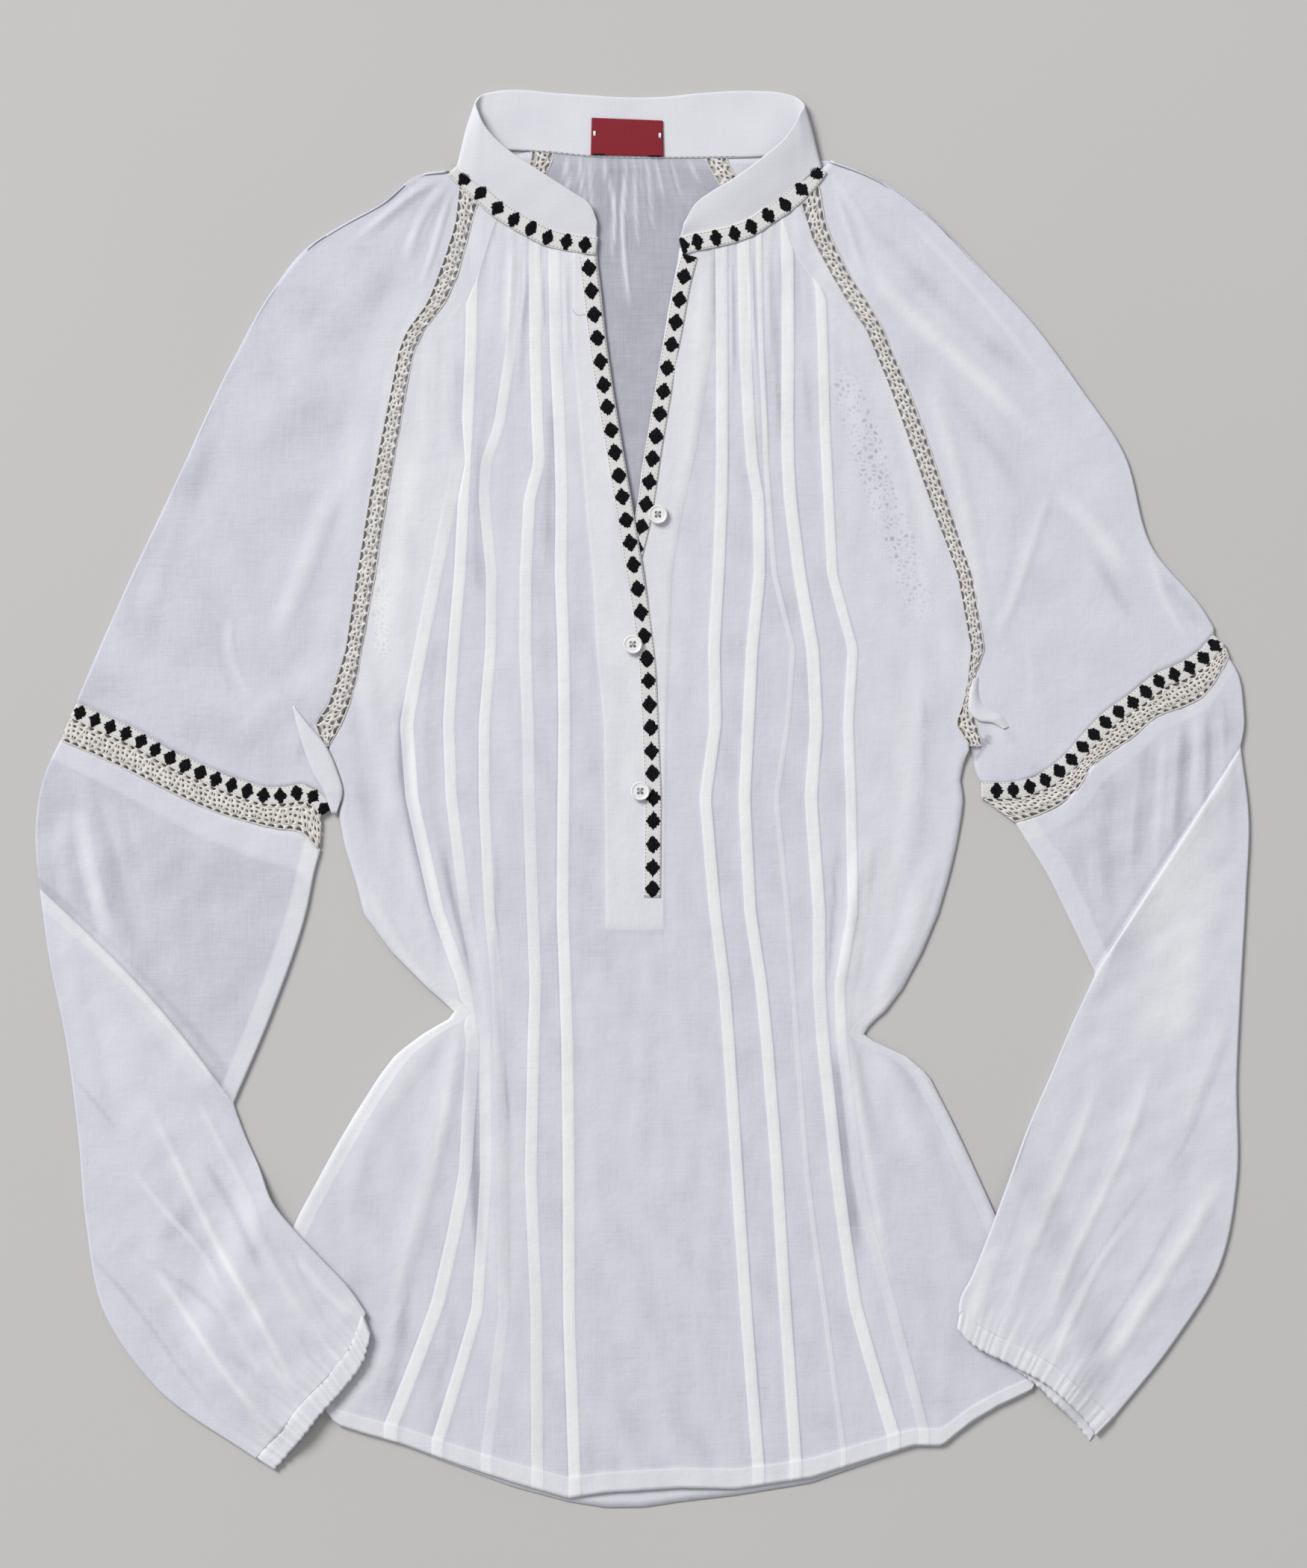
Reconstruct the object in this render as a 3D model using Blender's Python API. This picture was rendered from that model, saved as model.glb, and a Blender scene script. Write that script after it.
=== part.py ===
"""Sheer raglan blouse laid flat: stand collar, slit placket, tucks, lace and patterned tape.

The back of the garment lies on the ground at z = 0 and the front lies on it. Tables are in
millimetres, seen from above: +x to the right, +y towards the collar. Sleeves, elbow trims
and cuffs are cloth wrapped once around, open along the underarm seam.
"""

import math

import bmesh
import bpy
import numpy as np

MM = 0.001
CLOTH = 1.0                 # wall of the cloth panels
TRIM = 0.7                  # wall of the woven tapes that lie on the front
BAND = 1.2                  # wall of the collar band
SEAM = 0.3                  # clearance at seams and between layers
NECK_TAPE_WIDTH = 10.0
NECK_TAPE_POINTS = 14
NECK_CLEARANCE = 0.8        # between the neck tape and the panels below it
PLACKET_TAPE_WIDTH = 8.5
ELBOW_TAPE_WIDTH = 9.0
TUCK_WIDTH = 6.0
TUCK_RISE = 0.8
HEM_RISE = 0.5
HEM_TOP = -366.0            # level where the doubled hem starts
GATHER_RISE = 0.7
CROSSING_RISE = 1.0         # the left placket tape over the right one
FOLD_STEP = 2.4             # the forearm folded over itself
SLEEVE_ON_BODY = 4.0        # height of a sleeve's underside where it lies on the body
RAMP_NEAR, RAMP_FAR = 14.0, 38.0      # and comes down to the ground between these distances
RAMP_TOP, RAMP_LENGTH = -150.0, 40.0  # only its lower part meets the body
FOLD_ROWS = 4
SLEEVE_COLUMNS = 16
COLLAR_SECTIONS = 56
CUFF_CRIMP = 0.6
CUFF_UNDER_RIGHT = (-3.5, -3.5)       # how far the lower layer of the right cuff shows
BUTTON_DIAMETER = 10.2
BUTTON_HEIGHT = 2.0
BUTTON_HOLE = 1.7
BUTTON_HOLE_OFFSET = 1.35
LABEL_WALL = 0.6

LOWER = (0.0, CLOTH)                           # underside and top of the layer on the ground
UPPER = (CLOTH + SEAM, 2 * CLOTH + SEAM)       # the same for the layer on top of it
FRONT_TOP = UPPER[1] + SEAM                    # what lies on the front starts here

# Rows of the body, as levels that bend to the neck edge at the top and to the hem below.
RAGLAN_LEVELS = (290, 272, 256, 240, 210, 180, 152, 120, 95, 78, 63, 50, 40, 28)
SIDE_LEVELS = (
    10, -8, -35, -62, -88, -108, -115.5, -126, -137, -160, -190, -230, -285, -335, -365, -367, -380,
)
BODY_LEVELS = RAGLAN_LEVELS + SIDE_LEVELS
NECK_BEND = (240, 290)
HEM_BEND = (-230, -380)

# Front raglan lace: y, left outer x, left inner x, right inner x, right outer x
FRONT_RAGLAN = (
    (330, -98.5, -84.0, 80.0, 94.0), (310, -100.5, -91.0, 87.0, 97.5), (300, -103.0, -93.5, 90.0, 101.0),
    (280, -110.0, -99.0, 100.5, 111.0), (265, -116.0, -106.0, 109.5, 121.5), (250, -127.0, -117.5, 119.5, 129.5),
    (240, -131.0, -122.0, 123.5, 133.5), (220, -135.0, -126.5, 131.7, 142.0), (200, -139.0, -129.5, 139.0, 149.7),
    (160, -147.0, -137.0, 153.0, 163.0), (120, -153.5, -143.0, 168.0, 176.3), (80, -159.5, -150.5, 175.3, 183.0),
    (65, -164.0, -152.5, 174.0, 177.5), (50, -169.0, -157.0, 171.0, 175.0), (40, -176.0, -161.0, 167.0, 179.0),
    (28, -171.0, -168.0, 175.0, 182.0),
)
# Back raglan lace, in the same columns
BACK_RAGLAN = (
    (342, -60.0, -48.0, 33.0, 45.0), (320, -69.0, -58.0, 46.0, 57.0), (300, -77.0, -66.0, 60.0, 71.0),
    (260, -93.0, -82.0, 84.0, 95.0), (230, -103.0, -93.0, 100.0, 110.0), (170, -123.0, -113.0, 121.0, 131.0),
    (95, -146.0, -136.0, 147.0, 157.0), (60, -155.0, -145.0, 158.0, 168.0), (28, -169.0, -165.0, 170.0, 176.0),
)
# Sides of the body below the raglan seams: y, left x, right x
SIDES = (
    (20, -166.5, 172.0), (10, -163.2, 170.0), (0, -161.6, 171.7), (-8, -163.0, 170.8), (-25, -160.0, 168.0),
    (-45, -153.8, 163.0), (-62, -149.5, 158.0), (-82, -135.0, 149.5), (-102, -115.0, 139.0),
    (-115.5, -99.5, 128.5), (-120, -108.0, 122.5), (-126, -118.0, 118.5), (-131.5, -125.5, 126.0),
    (-137, -132.5, 140.0), (-148, -141.0, 153.0), (-170, -155.0, 164.3), (-187, -165.0, 172.5),
    (-223, -184.5, 189.0), (-260, -201.0, 204.0), (-285, -211.0, 215.0), (-300, -213.0, 217.0),
)
BACK_NECK = ((-61, 342.0), (46, 342.0))
BACK_COLUMNS = 19
# Hems: x, back y, front y
HEMS = (
    (-213, -300.0, -299.0), (-200, -309.0, -308.0), (-175, -322.0, -321.0), (-164, -336.0, -335.0),
    (-150, -340.5, -339.5), (-130, -346.0, -345.0), (-100, -357.5, -356.0), (-70, -368.5, -366.0),
    (-40, -376.5, -374.5), (-20, -379.7, -371.5), (0, -379.5, -370.3), (20, -376.5, -369.0),
    (50, -373.0, -369.5), (90, -366.5, -363.5), (145, -347.0, -346.0), (160, -347.3, -346.3),
    (175, -335.0, -334.0), (190, -326.0, -325.0), (208, -317.5, -316.5), (217, -300.0, -299.0),
)
# Tuck centres across the front: y, then x of L5, L4, L3, L2, L1, R1, R2, R3, R4, R5
TUCKS = (
    (310, -92.5, -88.0, -66.0, -57.0, -47.0, 41.0, 53.0, 61.0, 76.0, 88.0),
    (280, -98.0, -91.0, -67.7, -58.0, -47.5, 41.8, 53.5, 62.0, 77.0, 93.0),
    (240, -102.0, -92.0, -70.7, -57.5, -46.6, 42.0, 54.5, 63.0, 77.3, 96.0),
    (200, -100.5, -94.0, -77.0, -56.5, -44.7, 42.0, 56.5, 65.0, 77.0, 97.0),
    (160, -103.0, -96.0, -83.0, -60.7, -43.5, 41.7, 61.5, 67.0, 78.5, 99.0),
    (120, -111.0, -98.0, -81.0, -62.8, -44.0, 40.0, 62.0, 70.0, 83.5, 101.0),
    (80, -119.0, -101.5, -81.5, -63.0, -42.5, 37.7, 58.0, 80.0, 90.5, 112.0),
    (40, -126.5, -104.0, -85.0, -61.5, -42.0, 38.5, 56.0, 77.0, 92.5, 109.5),
    (0, -123.5, -102.5, -85.0, -61.0, -42.5, 33.0, 54.0, 71.0, 89.5, 111.0),
    (-60, -110.0, -95.0, -82.0, -59.0, -43.0, 38.2, 57.0, 77.0, 94.0, 112.0),
    (-100, -95.5, -88.0, -78.0, -57.5, -41.5, 43.2, 63.0, 80.0, 94.0, 105.0),
    (-130, -91.0, -84.5, -77.0, -58.5, -40.5, 45.5, 66.0, 82.0, 96.0, 106.0),
    (-200, -95.0, -84.0, -75.0, -60.0, -39.7, 50.0, 71.5, 87.3, 103.5, 114.0),
    (-280, -110.0, -88.7, -74.5, -57.0, -39.5, 55.0, 76.0, 97.0, 113.5, 132.0),
    (-370, -135.0, -110.0, -84.0, -56.5, -36.5, 61.5, 81.5, 107.0, 134.0, 150.0),
)
TUCKS_ON_LEFT = 5
# Slit edges, then the middle of the front below the slit: y, left x, right x
SLIT = (
    (300, -25.0, 21.0), (284, -24.3, 18.6), (259, -21.3, 13.3), (221, -16.3, 6.8), (197, -12.3, 2.8),
    (173, -8.3, -1.2), (152, -6.0, -3.2), (100, -1.5, 0.5), (40, 3.0, 5.0), (-60, 4.5, 6.5), (-380, 4.0, 6.0),
)
SLIT_END = 152

# Outer edges of the upper sleeves, from the collar to the elbow: x, y
SLEEVE_EDGE_LEFT = (
    (-104.5, 336.0), (-120, 334.0), (-140, 319.0), (-160, 308.0), (-180, 295.0), (-200, 270.0), (-220, 234.0),
    (-250, 170.0), (-280, 106.0), (-300, 60.0), (-303.5, 52.0),
)
SLEEVE_EDGE_RIGHT = (
    (100.5, 341.5), (120, 334.5), (148, 317.0), (180, 285.0), (210, 253.0), (235, 219.0), (257, 186.0),
    (273, 134.0), (300, 101.0), (307, 89.5),
)
UNDERARM_LEFT = (-168.6, 14.0)
UNDERARM_RIGHT = (177.5, 17.0)
# Centre line of each elbow tape and lower edge of the lace under it, from the outer edge inward: x, y
ELBOW_TAPE_LEFT = (
    (-305, 47.5), (-290, 40.5), (-273, 33.0), (-258, 24.5), (-241.5, 16.0), (-217, 6.0), (-201, 1.5),
    (-191, 1.8), (-181, 3.0), (-175, 0.0), (-169, -7.0),
)
ELBOW_TAPE_RIGHT = (
    (308.5, 85.0), (300, 75.5), (291, 69.4), (275, 62.0), (264.7, 53.5), (248.7, 41.9), (238, 30.7), (227, 18.5),
    (211, 7.8), (200.6, 4.9), (181, 4.3),
)
ELBOW_LACE_LEFT = (
    (-312, 31.0), (-300, 26.0), (-270, 12.0), (-250, 2.0), (-230, -7.0), (-210, -13.0), (-195, -16.5),
    (-184, -18.0), (-173, -28.0),
)
ELBOW_LACE_RIGHT = (
    (314, 76.0), (306, 62.0), (300, 54.5), (291, 49.7), (274, 43.0), (263.5, 33.8), (240, 16.0), (232, 4.0),
    (215, -7.5), (199, -13.0),
)
# Lower sleeves: outer x and y, inner x and y. The first part ends at the fold across the forearm.
FOREARM_LEFT = ((-320, 14, -175, -36), (-325, -10, -180, -60), (-325, -30, -198, -113), (-323, -48, -219, -163))
FOREARM_RIGHT = ((319, 66, 206, -24), (321.5, 50, 216, -40), (322, 40, 227, -62), (320, 28, 242, -93.5))
WRIST_LEFT = (
    (-322.8, -51, -218.6, -165), (-318, -85, -213, -180), (-309, -130, -205, -198), (-302.5, -180, -198, -216),
    (-298, -230, -187, -230), (-289, -274, -172, -246), (-262, -314, -157, -262), (-206, -354.5, -148, -275),
)
WRIST_RIGHT = (
    (320.3, 25.5, 241.4, -95.5), (324.5, -10, 230, -120), (323, -50, 219, -146), (320, -105, 206, -176),
    (318, -150, 194, -208), (318, -205, 184, -235), (309, -250, 175, -257), (285, -290, 169.5, -268),
    (251, -333, 168.5, -275),
)
CUFF_START_LEFT = ((-206, -354.5), (-192, -338), (-180, -323), (-165, -306), (-155, -292), (-148, -275))
CUFF_START_RIGHT = ((251, -333), (240, -323), (220, -305), (200, -294), (180, -283), (168.5, -275))
CUFF_END_LEFT = ((-197.5, -359.5), (-184, -344), (-172, -329), (-157, -312), (-150, -302), (-145.5, -286))
CUFF_END_RIGHT = ((243, -341), (235, -331), (215, -313), (195, -302), (175, -291), (168, -283.5))

# Collar band: lower x, y, z and upper x, y, z of its middle surface, from one front end to the other
COLLAR = (
    (-24.6, 302.0, 2.4, -24.6, 308.5, 3.0), (-31, 302.6, 2.4, -28.5, 318.0, 4.0), (-40, 304.1, 2.4, -37, 324.0, 4.8),
    (-49.5, 306.5, 2.4, -48, 331.0, 5.4), (-58, 310.8, 2.4, -58, 337.5, 6.0), (-66.8, 315.7, 2.6, -68.5, 344.3, 6.4),
    (-75.6, 321.5, 2.8, -77.5, 351.5, 6.8), (-84, 329.0, 3.0, -84, 359.0, 7.0), (-93, 337.5, 3.4, -88, 367.0, 6.5),
    (-98.5, 342.0, 2.6, -89.5, 373.0, 4.0), (-96, 345.0, 1.2, -87, 376.5, 1.6), (-88, 346.8, 0.6, -80, 378.6, 0.7),
    (-71, 347.2, 0.6, -67, 379.6, 0.6), (-50, 345.8, 0.6, -48, 378.0, 0.6), (-30, 343.8, 0.6, -30, 376.8, 0.6),
    (-10, 342.8, 0.6, -10, 375.6, 0.6), (10, 342.8, 0.6, 10, 375.8, 0.6), (30, 342.9, 0.6, 30, 377.8, 0.6),
    (62, 343.6, 0.6, 60, 379.0, 0.6), (82, 345.2, 0.6, 76, 377.6, 0.7), (91, 345.0, 1.2, 83, 375.0, 1.6),
    (94, 342.5, 2.6, 86, 371.5, 4.0), (89, 338.8, 3.4, 84, 367.0, 6.5), (81, 330.6, 3.0, 80.5, 360.0, 7.0),
    (72.6, 323.2, 2.8, 74.5, 352.0, 6.8), (64, 317.4, 2.6, 65, 344.0, 6.4), (55.6, 311.8, 2.4, 56, 337.0, 6.0),
    (47.5, 308.6, 2.4, 47, 331.0, 5.4), (38, 306.2, 2.4, 37, 325.0, 4.8), (28, 304.2, 2.4, 28, 318.3, 4.0),
    (20.3, 302.0, 2.4, 22, 308.0, 3.0),
)
NECK_TAPE_LEFT = (
    (-96, 332.3), (-87, 324.0), (-78, 316.0), (-69, 310.0), (-60, 305.0), (-51, 300.5), (-41, 298.0),
    (-31, 296.5), (-24.6, 295.7),
)
NECK_TAPE_RIGHT = (
    (20.3, 295.7), (29, 298.0), (39, 300.0), (49, 302.5), (58, 306.0), (67, 312.0), (76, 318.0), (85, 326.0),
    (89.8, 331.4),
)
PLACKET_TAPE_LEFT = (
    (-29.7, 290.0), (-27.5, 271.5), (-24.5, 246.5), (-21, 221.5), (-17, 197.0), (-13, 173.0), (-9, 149.0),
    (-5, 125.0), (-1, 99.5), (2, 75.0), (3.5, 50.5), (4.5, 25.5), (5.5, 0.5), (5.3, -24.5), (5, -53.0),
)
PLACKET_TAPE_RIGHT = (
    (25, 290.5), (22, 279.5), (17.5, 255.0), (13, 230.5), (9, 206.0), (5, 182.0), (1.5, 157.5), (-1, 130.0),
)
CROSSING = (178, 158, 120, 98)       # y where the left tape starts to rise, is up, and comes down again
BUTTONS = ((8.0, 152.0), (-5.5, 82.5), (-1.5, 4.0))
LABEL = ((-27.5, 364.5), (-28.0, 344.6), (10.5, 363.0), (11.0, 343.8))     # corners

# Largest folds of the upper layer: start x and y, end x and y, height, half width
FOLDS = (
    (-96, -118, -134, -270, 1.2, 9), (-84, -60, -76, -300, 1.0, 7), (120, -20, 109, -105, 1.6, 8),
    (109, -105, 122, -180, 1.6, 8), (-118, 60, -108, -30, 1.2, 9), (-125, 290, -190, 225, 1.4, 12),
    (-130, 262, -215, 160, 1.2, 14), (-165, 150, -190, 40, 1.2, 12), (-182, 60, -215, 28, 1.4, 10),
    (125, 300, 190, 240, 1.5, 12), (140, 262, 225, 175, 1.3, 13), (185, 140, 215, 40, 1.3, 12),
    (190, 60, 245, 120, 1.4, 12), (-300, 20, -285, -75, 1.2, 10), (-268, -150, -182, -300, 1.6, 9),
    (-238, -165, -165, -280, 1.6, 9), (-296, -190, -200, -325, 1.5, 10), (288, 40, 282, -30, 1.4, 10),
    (270, -60, 205, -285, 1.5, 10), (296, -90, 228, -305, 1.6, 11), (308, -150, 262, -292, 1.4, 10),
)


def along(points, count):
    """Points evenly spaced by length on a smooth curve through the given ones."""
    points = np.array(points, float)
    reach = np.concatenate([[0], np.cumsum(np.linalg.norm(np.diff(points, axis=0), axis=1))])
    slope = np.gradient(points, reach, axis=0)
    where = np.linspace(0, reach[-1], count)
    cell = np.clip(np.searchsorted(reach, where, side="right") - 1, 0, len(points) - 2)
    length = (reach[cell + 1] - reach[cell])[:, None]
    t = (where - reach[cell])[:, None] / length
    return ((1 + 2 * t) * (1 - t) ** 2 * points[cell] + t * (1 - t) ** 2 * length * slope[cell]
            + t * t * (3 - 2 * t) * points[cell + 1] + t * t * (t - 1) * length * slope[cell + 1])


def beside(path, distance):
    """A path moved sideways in the plane, to its left for a positive distance."""
    way = np.gradient(path[:, :2], axis=0)
    way /= np.linalg.norm(way, axis=1)[:, None]
    moved = path.copy()
    moved[:, :2] += distance * np.column_stack([-way[:, 1], way[:, 0]])
    return moved


def halved(path):
    """The same path with a point in the middle of each stretch."""
    points = np.empty((2 * len(path) - 1, path.shape[1]))
    points[::2] = path
    points[1::2] = (path[1:] + path[:-1]) / 2
    return points


def at(table, column, height):
    """One column of a table whose first column runs downward, at the given heights."""
    table = np.array(table, float)
    return np.interp(-np.asarray(height, float), -table[:, 0], table[:, column])


def neck_edge():
    """The front neck edge, just below the neck tapes."""
    drop = NECK_TAPE_WIDTH / 2 + NECK_CLEARANCE
    return np.concatenate([beside(along(centre, NECK_TAPE_POINTS), -drop)
                           for centre in (NECK_TAPE_LEFT, NECK_TAPE_RIGHT)])


def level_height(level, x, neck, hem, hem_column):
    """Height y of a body level at x: bent to the neck edge above and to the hem below."""
    neck, hem = np.array(neck, float), np.array(hem, float)
    top = np.clip((level - NECK_BEND[0]) / (NECK_BEND[1] - NECK_BEND[0]), 0, 1)
    low = np.clip((level - HEM_BEND[0]) / (HEM_BEND[1] - HEM_BEND[0]), 0, 1)
    return (level + top * (np.interp(x, neck[:, 0], neck[:, 1]) - NECK_BEND[1])
            + low * (np.interp(x, hem[:, 0], hem[:, hem_column]) - HEM_BEND[1]))


def edge_line(levels, table, column, neck, hem_column=1):
    """Points where the levels meet an edge that a table gives as x for each height."""
    levels = np.array(levels, float)
    y = levels.copy()
    for _ in range(12):
        x = at(table, column, y)
        y = level_height(levels, x, neck, HEMS, hem_column)
    return np.column_stack([x, y])


def side_table(raglan, column, side_column, clearance):
    """One edge of a body panel: beside the raglan lace, then down the side."""
    rows = [(row[0], row[column] + clearance) for row in raglan]
    return rows + [(row[0], row[side_column]) for row in SIDES]


def rises(xy):
    """Height that the largest folds add to the upper layer at each point."""
    total = np.zeros(xy.shape[:-1])
    for x0, y0, x1, y1, height, half_width in FOLDS:
        start, run = np.array((x0, y0), float), np.array((x1 - x0, y1 - y0), float)
        t = np.clip(((xy - start) @ run) / (run @ run), 0, 1)
        away = np.linalg.norm(xy - start - t[..., None] * run, axis=-1)
        total = np.maximum(total, height * np.clip(1 - (away / half_width) ** 2, 0, 1) ** 2)
    return total


def outside(xy, outline):
    """Distance of each point from a closed outline, zero inside it."""
    start = np.array(outline, float)
    end = np.roll(start, -1, axis=0)
    run = end - start
    offset = xy[..., None, :] - start
    t = np.clip((offset * run).sum(-1) / (run * run).sum(-1), 0, 1)
    distance = np.linalg.norm(offset - t[..., None] * run, axis=-1).min(-1)
    y = xy[..., 1, None]
    spans = (start[:, 1] > y) != (end[:, 1] > y)
    rise = np.where(run[:, 1] == 0, 1, run[:, 1])
    crossing = start[:, 0] + (y - start[:, 1]) / rise * run[:, 0]
    inside = (spans & (xy[..., 0, None] < crossing)).sum(-1) % 2 == 1
    return np.where(inside, 0, distance)


def patch(start, end, first, last):
    """Grid between four border paths: start and end rows, first and last columns."""
    rows, columns = len(first), len(start)
    v = np.linspace(0, 1, rows)[:, None, None]
    u = np.linspace(0, 1, columns)[None, :, None]
    corners = ((1 - v) * (1 - u) * start[0] + (1 - v) * u * start[-1]
               + v * (1 - u) * end[0] + v * u * end[-1])
    return (1 - v) * start + v * end + (1 - u) * first[:, None] + u * last[:, None] - corners


def finish(name, colour, roughness):
    """A plain material."""
    material = bpy.data.materials.new(name)
    material.use_nodes = True
    shader = material.node_tree.nodes["Principled BSDF"]
    shader.inputs["Base Color"].default_value = (*colour, 1)
    shader.inputs["Roughness"].default_value = roughness
    return material


def add(name, mesh, material):
    """Close the normals outward and put the mesh in the scene."""
    work = bmesh.new()
    work.from_mesh(mesh)
    bmesh.ops.recalc_face_normals(work, faces=work.faces)
    work.to_mesh(mesh)
    work.free()
    mesh.materials.append(material)
    mesh.shade_smooth()
    mesh.set_sharp_from_angle(angle=math.radians(35))
    piece = bpy.data.objects.new(name, mesh)
    bpy.context.collection.objects.link(piece)
    return piece


def wall(name, inner, outer, material, keep=None):
    """A closed wall of cloth between two grids of points, without the cells left out."""
    rows, columns = inner.shape[:2]
    keep = np.ones((rows - 1, columns - 1), bool) if keep is None else keep
    number = np.arange(rows * columns).reshape(rows, columns)
    cells = np.stack([number[:-1, :-1], number[1:, :-1], number[1:, 1:], number[:-1, 1:]], -1)[keep]
    sides = {(a, b) for cell in cells for a, b in zip(cell, np.roll(cell, -1))}
    rims = [(a, b) for a, b in sides if (b, a) not in sides]
    used = np.unique(cells)
    place = np.full(rows * columns, -1)
    place[used] = np.arange(len(used))
    below = len(used)
    faces = [tuple(place[cell]) for cell in cells]
    faces += [tuple(place[cell[::-1]] + below) for cell in cells]
    faces += [(place[b], place[a], place[a] + below, place[b] + below) for a, b in rims]
    points = np.concatenate([outer.reshape(-1, 3)[used], inner.reshape(-1, 3)[used]]) * MM
    mesh = bpy.data.meshes.new(name)
    mesh.from_pydata(points.tolist(), [], [[int(corner) for corner in face] for face in faces])
    return add(name, mesh, material)


def flat(xy, z):
    """Points of a plane grid with their heights."""
    return np.concatenate([xy, np.broadcast_to(z, xy.shape[:-1])[..., None]], -1)


def wrapped(name, top, bottom, material, lift=None, step=None, crimp=0.0):
    """Cloth folded once around its outer edge, the first column, open at the underarm seam.

    Lift raises both layers, step the upper one alone, and crimp every other point of its face.
    """
    radius = UPPER[1] / 2
    angles = np.radians((-90, -45, 0, 45, 90))
    inward = top[:, 1] - top[:, 0]
    inward /= np.linalg.norm(inward, axis=1)[:, None]
    middle = top[:, 0] + radius * inward
    lift = np.zeros(top.shape[:2]) if lift is None else lift
    step = np.zeros(top.shape[:2]) if step is None else step
    raised = step[:, 1:] + rises(top[:, 1:])
    waves = crimp * (np.arange(top.shape[1] - 1) % 2)
    layers = []
    for reach, low, high in ((radius - CLOTH, LOWER[1], UPPER[0]), (radius, LOWER[0], UPPER[1] + waves)):
        turn = middle[:, None] - reach * np.cos(angles)[:, None] * inward[:, None]
        lower = flat(bottom[:, :0:-1], low + lift[:, :0:-1])
        edge = flat(turn, radius + reach * np.sin(angles) + lift[:, :1])
        upper = flat(top[:, 1:], high + lift[:, 1:] + raised)
        layers.append(np.concatenate([lower, edge, upper], 1))
    return wall(name, *layers, material)


def ribbon(name, path, width, z, thickness, material):
    """A narrow strip along a path, its underside at height z."""
    edges = np.stack([beside(path, width / 2), path, beside(path, -width / 2)], 1)
    low = flat(edges, np.broadcast_to(np.asarray(z, float), len(path))[:, None])
    high = low + (0, 0, thickness)
    return wall(name, low, high, material)


def back_panel(cloth):
    """The back, gathered into the collar seam."""
    levels = np.array(BODY_LEVELS, float)
    left = edge_line(levels, side_table(BACK_RAGLAN, 2, 1, SEAM), 1, BACK_NECK)
    right = edge_line(levels, side_table(BACK_RAGLAN, 3, 2, -SEAM), 1, BACK_NECK)
    share = np.linspace(0, 1, BACK_COLUMNS)
    x = left[:, :1] + share * (right[:, :1] - left[:, :1])
    y = level_height(levels[:, None], x, BACK_NECK, HEMS, 1)
    xy = np.stack([x, y], -1)
    gathers = GATHER_RISE * (np.arange(BACK_COLUMNS) % 2) * (x > -24) * (x < 18) * (y > 290)
    wall("back_panel", flat(xy, LOWER[0]), flat(xy, LOWER[1] + gathers), cloth)


def front_panel(cloth):
    """The front: tucks as pressed ribs, a slit from the neck and a doubled hem."""
    levels, neck = np.array(BODY_LEVELS, float), neck_edge()
    left = edge_line(levels, side_table(FRONT_RAGLAN, 2, 1, SEAM), 1, neck, 2)[:, 0]
    right = edge_line(levels, side_table(FRONT_RAGLAN, 3, 2, -SEAM), 1, neck, 2)[:, 0]
    lines, crests = [left], [0]
    half = TUCK_WIDTH / 2
    tucks = [at(TUCKS, number, levels) for number in range(1, len(TUCKS[0]))]
    lines += [left + share * (tucks[0] - half - left) for share in (0.35, 0.7)]
    crests += [0, 0]
    for number, centre in enumerate(tucks):
        if number == TUCKS_ON_LEFT:
            lines += [at(SLIT, 1, levels), at(SLIT, 2, levels)]
            crests += [0, 0]
        outward = -1 if number < TUCKS_ON_LEFT else 1
        rib = [(centre + outward * (half + 0.4), 0), (centre + outward * half, TUCK_RISE),
               (centre - outward * half, 0)]
        for line, crest in rib[::-outward]:
            lines.append(line)
            crests.append(crest)
    lines += [right + share * (tucks[-1] + half - right) for share in (0.7, 0.35)] + [right]
    crests += [0, 0, 0]
    x = np.column_stack(lines)
    middle = 3 + 3 * TUCKS_ON_LEFT
    for column in range(1, middle):
        x[:, column] = np.maximum(x[:, column], x[:, column - 1] + 0.5)
    for column in range(x.shape[1] - 2, middle + 1, -1):
        x[:, column] = np.minimum(x[:, column], x[:, column + 1] - 0.5)
    xy = np.stack([x, level_height(levels[:, None], x, neck, HEMS, 2)], -1)
    keep = np.ones((x.shape[0] - 1, x.shape[1] - 1), bool)
    keep[levels[:-1] > SLIT_END, middle] = False
    hem = HEM_RISE * (levels < HEM_TOP)[:, None]
    relief = rises(xy)
    outer = flat(xy, UPPER[1] + relief + np.array(crests) + hem)
    wall("front_panel", flat(xy, UPPER[0] + relief), outer, cloth, keep)


def raglan_lace(lace):
    """The lace strips set between the body and the sleeves, in front and at the back."""
    rows = (("front_left", FRONT_RAGLAN, 1, 2, neck_edge(), UPPER),
            ("front_right", FRONT_RAGLAN, 3, 4, neck_edge(), UPPER),
            ("back_left", BACK_RAGLAN, 1, 2, BACK_NECK, LOWER), ("back_right", BACK_RAGLAN, 3, 4, BACK_NECK, LOWER))
    for side, table, first, second, neck, (low, high) in rows:
        edges = [edge_line(RAGLAN_LEVELS, table, column, neck) for column in (first, second)]
        xy = np.stack([edges[0], (edges[0] + edges[1]) / 2, edges[1]], 1)
        wall("raglan_lace_" + side, flat(xy, low), flat(xy, high), lace)


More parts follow.
